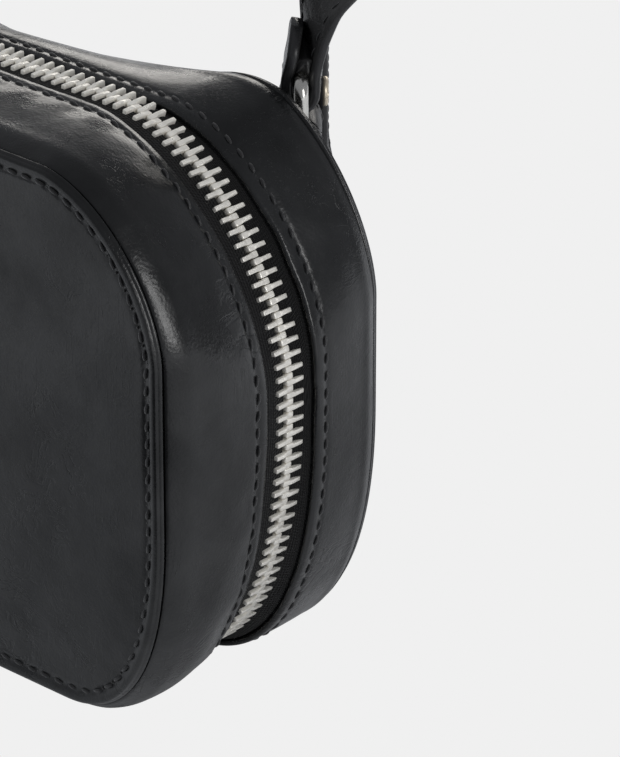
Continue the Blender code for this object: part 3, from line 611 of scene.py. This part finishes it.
def resample(points, outs, closed):
    """One point in the middle of each stitch along a line, with its forward and outward directions."""
    if closed:
        points, outs = (np.concatenate([v, v[:1]]) for v in (points, outs))
    walked = walk(points)
    count = max(2, round(walked[-1] / STITCH))
    where = (np.arange(count) + 0.5) * walked[-1] / count
    ahead = read_off(np.minimum(where + 0.4, walked[-1]), walked, points)
    behind = read_off(np.maximum(where - 0.4, 0), walked, points)
    return read_off(where, walked, points), unit_rows(ahead - behind), read_off(where, walked, outs)


def stitch_line(name, points, outs, body, closed=True, radius=0.38):
    """A row of short thread loops half sunk into the leather, each followed by a near-black cap of painted
    shade for its needle hole.
    """
    found, along, out = resample(points, outs, closed)
    out = unit_rows(out - along * (out * along).sum(1)[:, None])
    side = np.cross(along, out)
    shares = np.array([-1.0, -0.82, -0.45, 0.0, 0.45, 0.82, 1.0])
    heights = np.array([-0.36, -0.02, 0.15, 0.20, 0.15, -0.02, -0.36])
    widths = np.array([0.35, 0.85, 1.0, 1.05, 1.0, 0.85, 0.35])
    vertices = []
    faces = []
    ring = 7
    angles = 2 * np.pi * np.arange(ring) / ring
    for i in range(len(found)):
        way = along[i] + side[i] * STITCH_SLANT
        first = len(vertices)
        for share, height, width in zip(shares, heights, widths):
            centre = found[i] + way * STITCH_LENGTH / 2 * share + out[i] * height
            for angle in angles:
                spoke = side[i] * math.cos(angle) + out[i] * math.sin(angle)
                vertices.append(centre + spoke * radius * width)
        faces.extend(grid_faces(len(shares), ring, False, True, first))
        faces.append(tuple(range(first, first + ring)))
        faces.append(tuple(first + (len(shares) - 1) * ring + k for k in reversed(range(ring))))
    threads = len(faces)
    # Hole caps: small near-black discs of painted shade, not real recesses
    for i in range(len(found)):
        middle = found[i] + (along[i] + side[i] * STITCH_SLANT) * STITCH / 2
        first = len(vertices)
        for reach, rise in ((radius * 0.95, -0.10), (radius * 0.55, 0.07)):
            for angle in angles:
                vertices.append(middle + along[i] * math.cos(angle) * reach
                                + side[i] * math.sin(angle) * reach + out[i] * (rise - 0.02))
        faces.extend(grid_faces(2, ring, False, True, first))
        faces.append(tuple(first + k for k in reversed(range(ring))))
        faces.append(tuple(first + ring + k for k in range(ring)))
    made = outward(link(name, vertices, faces, THREAD))
    made.data.materials.append(HOLE_SHADE)
    for face in made.data.polygons[threads:]:
        face.material_index = 1
    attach(made, body)


def strip_stitches(name, outline_at, lift_at, y, body):
    outline = outline_at(y)
    lift = lifted(outline, lift_at, y)
    points = place(outline, y, 0.0, lift)
    outs = upright(-outline[1], 0.0)
    keep = points[:, 2] > 0.8
    order = np.roll(np.arange(len(points)), len(points) // 2)
    order = order[keep[order]]
    stitch_line(name, points[order], outs[order], body, closed=False)


def panel_stitches(name, outline, face, side, body):
    full, inward, walked, length = outline
    flat = full + inward * PANEL_STITCH_INSET
    count = round(length / STITCH)
    height = panel_face(PANEL_STITCH_INSET, walked / length, count, side, 0.0)
    points = upright(flat, face + side * height)
    outs = np.zeros_like(points)
    outs[:, 1] = side
    stitch_line(name, points, outs, body)


strip_stitches("front_fold_stitches", front_outline, front_lift, FRONT_FOLD - FOLD_STITCH_INSET,
               "front_shell")
strip_stitches("rear_fold_stitches", rear_outline, rear_lift, REAR_FOLD + FOLD_STITCH_INSET,
               "rear_shell")
panel_stitches("front_panel_stitches", front_outline(FRONT_FACE), FRONT_FACE, -1, "front_shell")
panel_stitches("rear_panel_stitches", rear_outline(REAR_FACE), REAR_FACE - 0.5, 1, "rear_shell")

# Zip


def chain_line():
    """The chain's top line from right end to left end, its inward normals, and their places in a loop."""
    full, inward = loop(HALF_WIDTH, ZIP_TOP, 0.0, 1.0)[:2]
    half = (len(full) + 2) // 2
    last = half - 26
    right = np.arange(last, -1, -1)
    left = len(full) - np.arange(1, last + 1)
    order = np.concatenate([right, left])
    return full[order], inward[order], order


def aside(x, z):
    """How far the front row stands off, where the sliders hold the chain apart."""
    away = np.abs(x - SPREAD_MIDDLE)
    amount = CHAIN_SPREAD * (1 - np.clip((away - SPREAD_FLAT) / SPREAD_RAMP, 0, 1))
    return np.where(z > ZIP_TOP - CORNER_DOWN, amount, 0.0)


def tape_mesh(name, outline_at, side, fold, body, node):
    line, inward, order = chain_line()
    middle = TEETH_INSET + TOOTH_DEPTH / 2
    walked = walk(line)
    ripple = 0.10 * np.sin(walked / 5.3) + 0.07 * np.sin(walked / 2.1 + 1.0)
    shift = aside(line[:, 0], line[:, 1]) if side < 0 else np.zeros(len(line))
    rows = []
    flat = []
    under = fold + side * TAPE_UNDER

    def add(y, points, across):
        rows.append(upright(points, y))
        flat.append(np.stack([walked, np.full(len(points), across)], 1))

    near = side * 1.5 - shift
    for y_share in (0.0, 0.2, 0.4, 0.6, 0.8, 1.0):
        y = near + (side * (abs(fold) - 0.2) - near) * y_share
        outline = outline_at(fold)
        fold_line = outline[0][order] + outline[1][order] * TAPE_OUTSIDE
        own = line + inward * (middle - TAPE_HALF)
        share = ease(np.full(len(line), y_share * 1.1 - 0.1))[:, None]
        points = own + (fold_line - own) * share + inward * (ripple * math.sin(math.pi * y_share))[:, None]
        add(y, points, 4.0 * y_share)
    outline = outline_at(under)
    add(under, outline[0][order] + outline[1][order] * TAPE_OUTSIDE, 10.0)
    add(under, outline[0][order] + outline[1][order] * TAPE_INSIDE, 10.5)
    outline = outline_at(fold)
    add(side * (abs(fold) - 0.2), outline[0][order] + outline[1][order] * TAPE_INSIDE, 4.0)
    add(side * 4.4 - shift, line + inward * (middle + TAPE_HALF), 2.0)
    add(near, line + inward * (middle + TAPE_HALF), 0.0)
    made = sheet_mesh(name, np.stack(rows, 1), TAPE_CLOTH, flat=np.stack(flat, 1), ends=True)
    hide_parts(node)
    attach(made, body)


tape_mesh("front_tape_cloth", front_outline, -1, FRONT_FOLD, "front_shell", "front_zip_tape")
tape_mesh("rear_tape_cloth", rear_outline, 1, REAR_FOLD, "rear_shell", "rear_zip_tape")


CORNER_STEPS = 3


def rounded(width, height, radius):
    """Points round a rectangle with rounded corners, width along the chain, height up."""
    points = []
    for corner, (sx, sz) in enumerate(((1, 1), (-1, 1), (-1, -1), (1, -1))):
        for i in range(CORNER_STEPS):
            angle = math.pi / 2 * (corner + i / (CORNER_STEPS - 1))
            points.append((sx * (width / 2 - radius) + radius * math.cos(angle),
                           sz * (height / 2 - radius) + radius * math.sin(angle)))
    return points


# Across one tooth, from the tape end to the tip: share of the way, thickness, height and drop of the top
TOOTH_SECTIONS = ((0.00, 0.82, 1.90, 0.12), (0.02, 0.96, 2.20, 0.02), (0.06, 1.00, 2.30, 0.00),
                  (0.50, 1.00, 2.30, 0.00), (0.57, 1.04, 2.24, 0.03), (0.64, 1.28, 2.05, 0.22),
                  (0.70, 1.34, 2.00, 0.26), (0.92, 1.34, 2.00, 0.26), (0.97, 1.22, 1.90, 0.32),
                  (1.00, 0.95, 1.60, 0.46))


def tooth_line(side, phase, name, body, node):
    line, inward = chain_line()[:2]
    chain = line + inward * TEETH_INSET
    walked = walk(chain)
    middle = walked[-1] / 2
    total = walked[-1] / 2 - 1.2
    numbers = np.arange(math.ceil(-total / PITCH - phase), math.floor(total / PITCH - phase) + 1)
    where = middle - (numbers + phase) * PITCH
    x = np.interp(where, walked, chain[:, 0])
    z = np.interp(where, walked, chain[:, 1])
    ax = np.interp(where - 1.5, walked, chain[:, 0]) - np.interp(where + 1.5, walked, chain[:, 0])
    az = np.interp(where - 1.5, walked, chain[:, 1]) - np.interp(where + 1.5, walked, chain[:, 1])
    reach = np.hypot(ax, az)
    ax, az = ax / reach, az / reach
    shift = aside(x, z) if side < 0 else np.zeros(len(x))
    random = np.random.RandomState(61 + side)
    vertices = []
    faces = []
    size = 4 * CORNER_STEPS
    for i in range(len(x)):
        along = np.array((ax[i], 0.0, az[i]))
        down = np.array((az[i], 0.0, -ax[i]))
        centre = np.array((x[i], 0.0, z[i])) + down * TOOTH_DEPTH / 2
        lean = random.normal() * 0.02
        first = len(vertices)
        for share, thick, high, drop in TOOTH_SECTIONS:
            y = side * (TOOTH_BACK - TOOTH_SPAN * share) - shift[i]
            for across, up in rounded(thick, high, 0.16):
                offset = along * (across + lean * (share - 0.5) * 4.0)
                offset = offset - down * (up + (TOOTH_DEPTH - high) / 2 - drop)
                vertices.append(centre + offset + np.array((0.0, y, 0.0)))
        faces += grid_faces(len(TOOTH_SECTIONS), size, False, True, first)
        faces += cap_faces(first, size, len(TOOTH_SECTIONS))
    made = outward(link(name, vertices, faces, TEETH_METAL))
    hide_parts(node)
    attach(made, body)


tooth_line(-1, -0.157, "front_teeth_metal", "front_shell", "front_zip_teeth")
tooth_line(1, 0.343, "rear_teeth_metal", "rear_shell", "rear_zip_teeth")

# Strap and tabs

RING_X, RING_Y = 61.4, 42.0
RING_LOW, RING_TOP = 109.4, 123.8
RING_REACH = 11.6
RING_CORNER = 2.6
RING_WIRE = 1.55
CAD_WIRE = 1.8
TAB_FOOT = (64.0, 30.1)
TAB_LOW, TAB_TOP = 78.0, 92.0
TAB_HALF = 7.8
TAB_THICK = 2.0
TAB_LOOP = CAD_WIRE + 0.8 + TAB_THICK / 2
TAB_WRAP = math.radians(262.0)
TAB_EASE = 0.35
TAB_RIVET = (64.0, 31.3, 84.0)
STRAP_HALF = 8.2
STRAP_THICK = 2.5
STRAP_STEP = 1.0
CAD_BEND = 3.6
BEND = 3.05
TIP_RISE = 10.0
FOLD_DROP = 4.0
FOLD_TURN = 0.65
RIVET_Z = 118.0
RISE = (67.6, 44.9, 144.5)
CURL_Z = 158.0
CURL = 7.0
SLANT_DROP = 34.0
FALL_X = 52.0
FALL_LEFT_X = 62.0
FALL_TOP = 100.0
FALL_DROP = 30.0
RUNS = 7
RUN_HALF = 40.0
RUN_PITCH = 9.0
RUN_LOW = 1.3
LAST_RUN_Z = 55.5
YAW = math.radians(-48.0)
WIDE = np.array((math.cos(YAW), math.sin(YAW), 0.0))
OUT = np.array((-math.sin(YAW), math.cos(YAW), 0.0))
UP = np.array((0.0, 0.0, 1.0))
RIGHT = np.array((1.0, 0.0, 0.0))
BACK = np.array((0.0, 1.0, 0.0))


def unit(v):
    return v / np.linalg.norm(v)


def at_ring(z):
    return np.array((RING_X, RING_Y, z))


def round_bar(centre, radius, angle):
    return centre + OUT * radius * math.cos(angle) + UP * radius * math.sin(angle)


def tab_route():
    foot_low = np.array((*TAB_FOOT, TAB_LOW))
    foot_top = np.array((*TAB_FOOT, TAB_TOP))
    centre = at_ring(RING_LOW)
    join = centre - OUT * TAB_LOOP
    route = [(foot_low, RIGHT), ((foot_low + foot_top) / 2, RIGHT), (foot_top, RIGHT)]
    reach = np.linalg.norm(join - foot_top)
    for i in range(1, 8):
        share = i / 8
        a = foot_top + UP * reach * share * TAB_EASE
        b = join - UP * reach * (1 - share) * TAB_EASE
        eased = ease(share)
        route.append((a + (b - a) * eased, unit(RIGHT + (WIDE - RIGHT) * eased)))
    for i in range(15):
        angle = math.pi - TAB_WRAP * i / 14
        route.append((round_bar(centre, TAB_LOOP, angle), WIDE))
    return route


def layer_station(rise, far, near, width):
    """Middle and width direction of a layer of strap above the ring, from its two edges."""
    middle = at_ring(RING_TOP + TIP_RISE * rise) + OUT * CAD_BEND * (far + near) / 2
    return middle, unit(WIDE * 2 * STRAP_HALF + OUT * CAD_BEND * (near - far)) * width


# Above the ring: share of the tip's height, far and near edge as shares of the bend, share of the width
TIP_ROWS = ((1.0, -0.24, -0.24, 0.45), (0.82, -0.36, -0.36, 0.78), (0.58, -0.42, -0.46, 1.0),
            (0.29, -0.50, -0.62, 1.0), (0.0, -0.70, -0.88, 1.0))
MAIN_ROWS = ((0.0, 0.92, 0.74, 1.0), (0.34, 0.20, 1.02, 1.0), (0.79, 0.18, 1.36, 1.0), (1.24, 0.0, 2.0, 1.0))


def strap_end_route(fall_x):
    """Right end of the strap: tip, fold round the ring, rise, curl and fall."""
    centre = at_ring(RING_TOP - FOLD_DROP)
    route = [layer_station(*row) for row in TIP_ROWS]
    for i in range(9):
        angle = math.pi + math.pi * i / 8
        route.append((round_bar(centre, BEND, angle), unit(WIDE * 2 * STRAP_HALF - OUT * FOLD_TURN)))
    route += [layer_station(*row) for row in MAIN_ROWS]
    low, low_wide = route[-1]
    high = np.array(RISE)
    for i in range(1, 5):
        share = i / 4
        eased = ease(share)
        point = low + (high - low) * np.array((eased, eased, share))
        route.append((point, unit(low_wide + (RIGHT - low_wide) * eased)))
    route.append((np.array((high[0], high[1], CURL_Z)), RIGHT))
    for i in range(1, 9):
        angle = math.pi - math.pi * i / 8
        over = np.array((high[0], high[1] + CURL * (1 + math.cos(angle)), CURL_Z + CURL * math.sin(angle)))
        route.append((over, RIGHT))
    back = high[1] + 2 * CURL
    for i in range(1, 7):
        share = i / 6
        turn = -YAW * ease(share)
        slope = (high[0] - fall_x) / SLANT_DROP * 6 * share * (1 - share)
        along = unit(np.array((slope, 0.0, 1.0)))
        wide = np.array((math.cos(turn), -math.sin(turn), 0.0))
        point = np.array((high[0] + (fall_x - high[0]) * ease(share), back, CURL_Z - SLANT_DROP * share))
        route.append((point, unit(wide - along * (wide @ along))))
    for i in range(7):
        share = i / 6
        turn = -YAW + (math.pi / 2 + YAW) * ease(share)
        route.append((np.array((fall_x, back, FALL_TOP - FALL_DROP * share)),
                      np.array((math.cos(turn), -math.sin(turn), 0.0))))
    return route


def strap_route():
    route = strap_end_route(FALL_X)
    back = route[-1][0][1]
    turn = RUN_PITCH / 2

    def add(x, z):
        route.append((np.array((x, back, z)), -BACK))

    for i in range(1, 7):
        angle = math.pi / 2 * i / 6
        add(FALL_X - RUN_PITCH * (1 - math.cos(angle)), RUN_LOW + RUN_PITCH * (1 - math.sin(angle)))
    for run in range(RUNS):
        z = RUN_LOW + RUN_PITCH * run
        way = -1 if run % 2 == 0 else 1
        add(0.0, z)
        if run == RUNS - 1:
            break
        add(way * RUN_HALF, z)
        for i in range(1, 6):
            angle = math.pi * i / 6
            add(way * (RUN_HALF + turn * math.sin(angle)), z + turn * (1 - math.cos(angle)))
        add(way * RUN_HALF, z + RUN_PITCH)
    for i in range(7):
        angle = math.pi / 2 * i / 6
        add(-FALL_LEFT_X + RUN_PITCH * (1 - math.sin(angle)), LAST_RUN_Z + RUN_PITCH * (1 - math.cos(angle)))
    for point, wide_end in reversed(strap_end_route(FALL_LEFT_X)):
        route.append((point * (-1, 1, 1), wide_end * (-1, 1, 1)))
    fixed = []
    before = None
    for point, wide_here in route:
        if before is not None and np.dot(before, wide_here) < 0:
            wide_here = -wide_here
        fixed.append((point, wide_here))
        before = wide_here
    return fixed


def dense(route):
    """Even points, width directions and face directions along a route."""
    points = np.array([p for p, w in route])
    wides = np.array([w for p, w in route])
    walked = walk(points)
    where = np.linspace(0, walked[-1], int(walked[-1] / STRAP_STEP) + 1)
    found = read_off(where, walked, points)
    wide = read_off(where, walked, wides)
    for _ in range(3):
        found[1:-1] = (found[:-2] + 2 * found[1:-1] + found[2:]) / 4
        wide[1:-1] = (wide[:-2] + 2 * wide[1:-1] + wide[2:]) / 4
    along = unit_rows(np.gradient(found, axis=0))
    width = np.interp(where, walked, np.linalg.norm(wides, axis=1))
    wide *= (width / np.linalg.norm(wide, axis=1))[:, None]
    return found, wide, unit_rows(np.cross(along, wide)), where


# Shares of half the width and half the thickness round a strap's section, from a quarter of it
QUARTER = [(1.0, 0.0), (0.985, 0.6), (0.93, 0.95), (0.84, 1.05), (0.72, 0.86), (0.60, 1.0), (0.0, 1.04)]
UPPER = QUARTER + [(-a, c) for a, c in QUARTER[-2::-1]]
SECTION_SHARES = UPPER + [(a, -c) for a, c in UPPER[-2:0:-1]]


def strap_mesh(name, route, half_width, thickness, body, node, seed):
    found, wide, out, where = dense(route)
    length = where[-1]
    rows = []
    drift = 0.10 * wave(where / length, seed, 6, 40)
    for i in range(len(found)):
        ends = min(where[i], length - where[i])
        narrow = 1 - 0.30 * max(0.0, 1 - ends / 4.0) ** 2
        rows.append([found[i] + wide[i] * half_width * narrow * a
                     + out[i] * (thickness / 2 * c + drift[i] * abs(c) * 0.3) for a, c in SECTION_SHARES])
    made = sheet_mesh(name, rows, LEATHER_STRAP, ends=True)
    made.data.materials.append(EDGE_PAINT)
    made.data.materials.append(LEATHER_FLESH_PAINTED_LIGHT)
    size = len(SECTION_SHARES)
    half = size // 2
    # Painted edges take the edge material; inner faces take the flesh material, whose colour carries painted
    # light
    for k, face in enumerate(made.data.polygons[:(len(rows) - 1) * size]):
        if k % size in (0, half - 1, half, size - 1):
            face.material_index = 1
        elif k % size > half:
            face.material_index = 2
    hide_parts(node)
    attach(made, body)
    return found, wide, out


def strap_stitches(name, found, wide, out, half_width, thickness, body, skip):
    keep = slice(skip, len(found) - skip)
    for label, a in (("a", 0.72), ("b", -0.72)):
        for face, c in (("outer", 1), ("inner", -1)):
            points = found[keep] + wide[keep] * half_width * a + out[keep] * c * (thickness / 2 * 0.86)
            row = name + "_" + label + "_" + face
            stitch_line(row, points, out[keep] * c, body, closed=False, radius=0.22)


parts = strap_mesh("strap_leather_band", strap_route(), STRAP_HALF, STRAP_THICK, "strap", "strap", seed=71)
strap_stitches("strap_stitches", *parts, STRAP_HALF, STRAP_THICK, "strap", skip=11)

for label, side in SIDES:
    route = [(p * (side, 1, 1), w * (side, 1, 1)) for p, w in tab_route()]
    parts = strap_mesh("tab_leather_" + label, route, TAB_HALF, TAB_THICK, "rear_shell", "chape_" + label,
                       seed=72)
    strap_stitches("tab_stitches_" + label, *parts, TAB_HALF, TAB_THICK, "rear_shell", skip=3)

FILLER_START = -8.0
FILLER_SPAN = 15.3


def filler(label, side):
    """Wedge of leather pressed between the layers, hollowed underneath for the ring's bar."""
    heights = [RING_TOP - 1.2, RING_TOP + 1.0, RING_TOP + 2.9, RING_TOP + 5.8]
    front = ([-0.86, -0.56, -0.55, -0.44], [-0.92, -0.72, -0.66, -0.50])
    back = ([0.86, 0.40, 0.22, 0.18], [1.0, 1.0, 1.0, 1.20])
    hollow = RING_WIRE + 0.1
    rows = []
    for i in range(15):
        across = FILLER_START + FILLER_SPAN * i / 14
        share = (across + STRAP_HALF) / (2 * STRAP_HALF)
        top = heights[3] - 1.6 * share ** 2
        levels = np.linspace(heights[0], top, 6)
        left, right = (CAD_BEND * (np.interp(levels, heights, far) * (1 - share)
                                   + np.interp(levels, heights, near) * share) + inset
                       for (far, near), inset in ((front, 1.2), (back, -1.2)))
        loop_points = list(zip(left, levels))
        loop_points.append(((left[-1] + right[-1]) / 2, top - 0.25))
        loop_points += zip(reversed(right), reversed(levels))
        for k in range(9):
            angle = math.pi * k / 8
            loop_points.append((hollow * math.cos(angle), RING_TOP + hollow * math.sin(angle)))
        middle = at_ring(0.0) + WIDE * across
        rows.append([(middle + OUT * a + UP * z) * (side, 1, 1) for a, z in loop_points])
    # The wedge takes the flesh material, lightened with painted light where it sits in shade
    made = sheet_mesh("strap_filler_" + label, rows, LEATHER_FLESH_PAINTED_LIGHT, ends=True)
    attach(made, "strap")


for label, side in SIDES:
    filler(label, side)

# Screw heads

HEAD_POINTS = 64


def screw_head(name, middle, axis, body, node, metal=FITTING_METAL):
    """Low domed head with a straight slot."""
    axis = unit(axis)
    first = unit(np.cross(axis, UP))
    second = np.cross(axis, first)
    vertices = []
    dome = np.linspace(2.7, 0.05, 18)
    radii = [3.2, 3.2, 3.1, 2.9, *dome]
    heights = [0.0, 0.55, 0.85, 1.03, *(1.3 - 0.18 * (dome / 2.7) ** 2)]
    for radius, height in zip(radii, heights):
        for k in range(HEAD_POINTS):
            angle = 2 * math.pi * k / HEAD_POINTS
            x, y = radius * math.cos(angle), radius * math.sin(angle)
            dip = 0.45 * (1 - ease((abs(y) - 0.32) / 0.16)) * (1.0 if height > 0.9 else 0.0)
            vertices.append(middle + first * x + second * y + axis * (height - dip))
    faces = grid_faces(len(radii), HEAD_POINTS, False, True) + cap_faces(0, HEAD_POINTS, len(radii))
    made = outward(link(name, vertices, faces, metal))
    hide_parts(node)
    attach(made, body)


for label, side in SIDES:
    flip = np.array((side, 1, 1))
    screw_head("tab_screw_" + label, np.array(TAB_RIVET) * flip, BACK, "rear_shell", "chape_rivet_" + label)
    middle = at_ring(RIVET_Z) + OUT * (BEND + STRAP_THICK / 2 + 0.25)
    screw_head("strap_screw_" + label, middle * flip, OUT * flip, "strap", "strap_rivet_" + label,
               RIVET_METAL)

# Linings


def lining_mesh(name, outline_at, side, start, back, body, node):
    rows = []
    depth = abs(back - start)
    for layer, inset in ((0, 2.2), (1, 2.8)):
        part = []
        for share in np.linspace(0, 1, 18):
            y = start + (back - start) * share
            outline = outline_at(y)
            turn = outline[2] / outline[3]
            soft = 0.22 * wave(turn, 81 + side, 8, 40) * math.sin(math.pi * share)
            curl = 1.6 * max(0.0, (share * depth - depth + 1.6) / 1.6) ** 2
            part.append(place(outline, y, inset + curl + soft * layer))
        middle = part[-1].mean(0)
        final_y = back - side * 0.6 * layer
        for share in np.linspace(0.97, 0.02, 20):
            row = middle + (part[-1] - middle) * share
            puff = 1 + np.sin(row[:, 0] / 11.0) * np.sin(row[:, 2] / 13.0)
            row[:, 1] = final_y - side * layer * 0.15 * puff
            part.append(row)
        rows.append(part)
    outer, inner = rows
    made = sheet_mesh(name, outer[::-1] + inner, LINING_CLOTH, ends=True)
    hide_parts(node)
    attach(made, body)


lining_mesh("front_lining_cloth", front_outline, -1, -LINING_START, -34.1, "front_shell", "front_lining")
lining_mesh("rear_lining_cloth", rear_outline, 1, LINING_START, 25.4, "rear_shell", "rear_lining")

# Wire rings


def wire_ring(label, side):
    """Rounded rectangle of smooth round wire."""
    corner = RING_CORNER
    reach = RING_REACH - corner
    stations = []
    for across, z, quarter in ((reach, RING_TOP - corner, 0), (-reach, RING_TOP - corner, 1),
                               (-reach, RING_LOW + corner, 2), (reach, RING_LOW + corner, 3)):
        for i in range(13):
            angle = math.pi / 2 * (quarter + i / 12)
            stations.append((across + corner * math.cos(angle), z + corner * math.sin(angle), angle))
    vertices = []
    for across, z, angle in stations:
        middle = at_ring(z) + WIDE * across
        away = WIDE * math.cos(angle) + UP * math.sin(angle)
        for k in range(24):
            turn = 2 * math.pi * k / 24
            point = middle + (away * math.cos(turn) + OUT * math.sin(turn)) * RING_WIRE
            vertices.append(point * (side, 1, 1))
    faces = grid_faces(len(stations), 24, True, True)
    made = outward(link("ring_wire_" + label, vertices, faces, FITTING_METAL))
    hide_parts("ring_" + label)
    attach(made, "strap")


for label, side in SIDES:
    wire_ring(label, side)

# CAD pieces that keep their shape


def keep(name, material, bevel):
    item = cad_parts[name]
    for place_slot in item.material_slots:
        place_slot.material = material
    if bevel:
        change = item.modifiers.new("soft_edges", "BEVEL")
        change.width = bevel
        change.segments = 3
        change.limit_method = "ANGLE"


for label in ("right", "left"):
    keep("zip_stop_" + label, TEETH_METAL, 0.0004)
for label in ("a", "b"):
    keep("slider_" + label, FITTING_METAL, 0.00025)
    keep("pull_" + label, FITTING_METAL, 0.00025)
keep("base_panel", LEATHER_MAIN, 0.0004)
keep("slip_pocket", LINING_CLOTH, 0.0002)
keep("front_board", BOARD, 0)
keep("rear_board", BOARD, 0)

# Floor, light and background


def pale_floor():
    mesh = bpy.data.meshes.new("floor")
    corners = ((-1, -1), (1, -1), (1, 1), (-1, 1))
    mesh.from_pydata([(6.0 * x, 6.0 * y, 0) for x, y in corners], [], [(0, 1, 2, 3)])
    floor = new_object("floor", mesh)
    material = bpy.data.materials.new("pale_floor")
    material.use_nodes = True
    tree = material.node_tree
    tree.nodes.clear()
    add = tree.nodes.new
    out = add("ShaderNodeOutputMaterial")
    matte = add("ShaderNodeBsdfDiffuse")
    # A dark patch painted into the floor's colour in front of the bag, unseen by the camera: painted shade
    # for the leather to reflect
    where = add("ShaderNodeTexCoord")
    away = add("ShaderNodeVectorMath")
    away.operation = "DISTANCE"
    away.inputs[1].default_value = (0.17, -0.27, -0.0005)
    shade_patch = add("ShaderNodeMapRange")
    shade_patch.interpolation_type = "SMOOTHSTEP"
    shade_patch.inputs["From Min"].default_value = 0.10
    shade_patch.inputs["From Max"].default_value = 0.24
    tone = add("ShaderNodeMix")
    tone.data_type = "RGBA"
    tone.inputs["A"].default_value = (0.04, 0.04, 0.045, 1)
    tone.inputs["B"].default_value = (0.70, 0.71, 0.73, 1)
    for source, target in ((where.outputs["Object"], away.inputs[0]),
                           (away.outputs["Value"], shade_patch.inputs["Value"]),
                           (shade_patch.outputs["Result"], tone.inputs["Factor"]),
                           (tone.outputs["Result"], matte.inputs["Color"]),
                           (matte.outputs[0], out.inputs["Surface"])):
        tree.links.new(source, target)
    mesh.materials.append(material)
    floor.location.z = -0.0005
    floor.visible_camera = False


def studio_world():
    world = bpy.data.worlds.new("studio")
    bpy.context.scene.world = world
    world.use_nodes = True
    tree = world.node_tree
    tree.nodes.clear()
    add = tree.nodes.new
    out = add("ShaderNodeOutputWorld")
    path = add("ShaderNodeLightPath")
    mixer = add("ShaderNodeMixShader")
    shown = add("ShaderNodeBackground")
    shown.inputs["Color"].default_value = (0.871, 0.871, 0.871, 1)
    dim = add("ShaderNodeBackground")
    dim.inputs["Color"].default_value = (0.24, 0.245, 0.26, 1)
    tree.links.new(path.outputs["Is Camera Ray"], mixer.inputs["Fac"])
    tree.links.new(dim.outputs[0], mixer.inputs[1])
    tree.links.new(shown.outputs[0], mixer.inputs[2])
    tree.links.new(mixer.outputs[0], out.inputs["Surface"])


def soft_box(name, where, aim, width, height, power, tone=(1.0, 1.0, 1.0), mirrored=True):
    data = bpy.data.lights.new(name, "AREA")
    data.shape = "RECTANGLE"
    data.size = width
    data.size_y = height
    data.energy = power
    data.color = tone
    lamp = new_object(name, data)
    lamp.location = where
    lamp.rotation_euler = (Vector(aim) - Vector(where)).to_track_quat("-Z", "Y").to_euler()
    lamp.visible_glossy = mirrored


pale_floor()
studio_world()
soft_box("back_box", (-0.62, 1.20, 0.42), (0.0, 0.0, 0.10), 0.9, 0.34, 2.6, (1.0, 0.965, 0.91))
soft_box("front_box", (-1.1, -1.3, 1.3), (-0.3, -0.4, 0.0), 0.9, 0.6, 22.0, (0.97, 0.99, 1.0), False)
soft_box("side_box", (1.35, -0.10, 0.55), (0.0, 0.0, 0.06), 0.25, 0.9, 5.0)
soft_box("right_box", (0.9, 1.3, 1.2), (0.35, 0.35, 0.0), 0.8, 0.6, 14.0, mirrored=False)
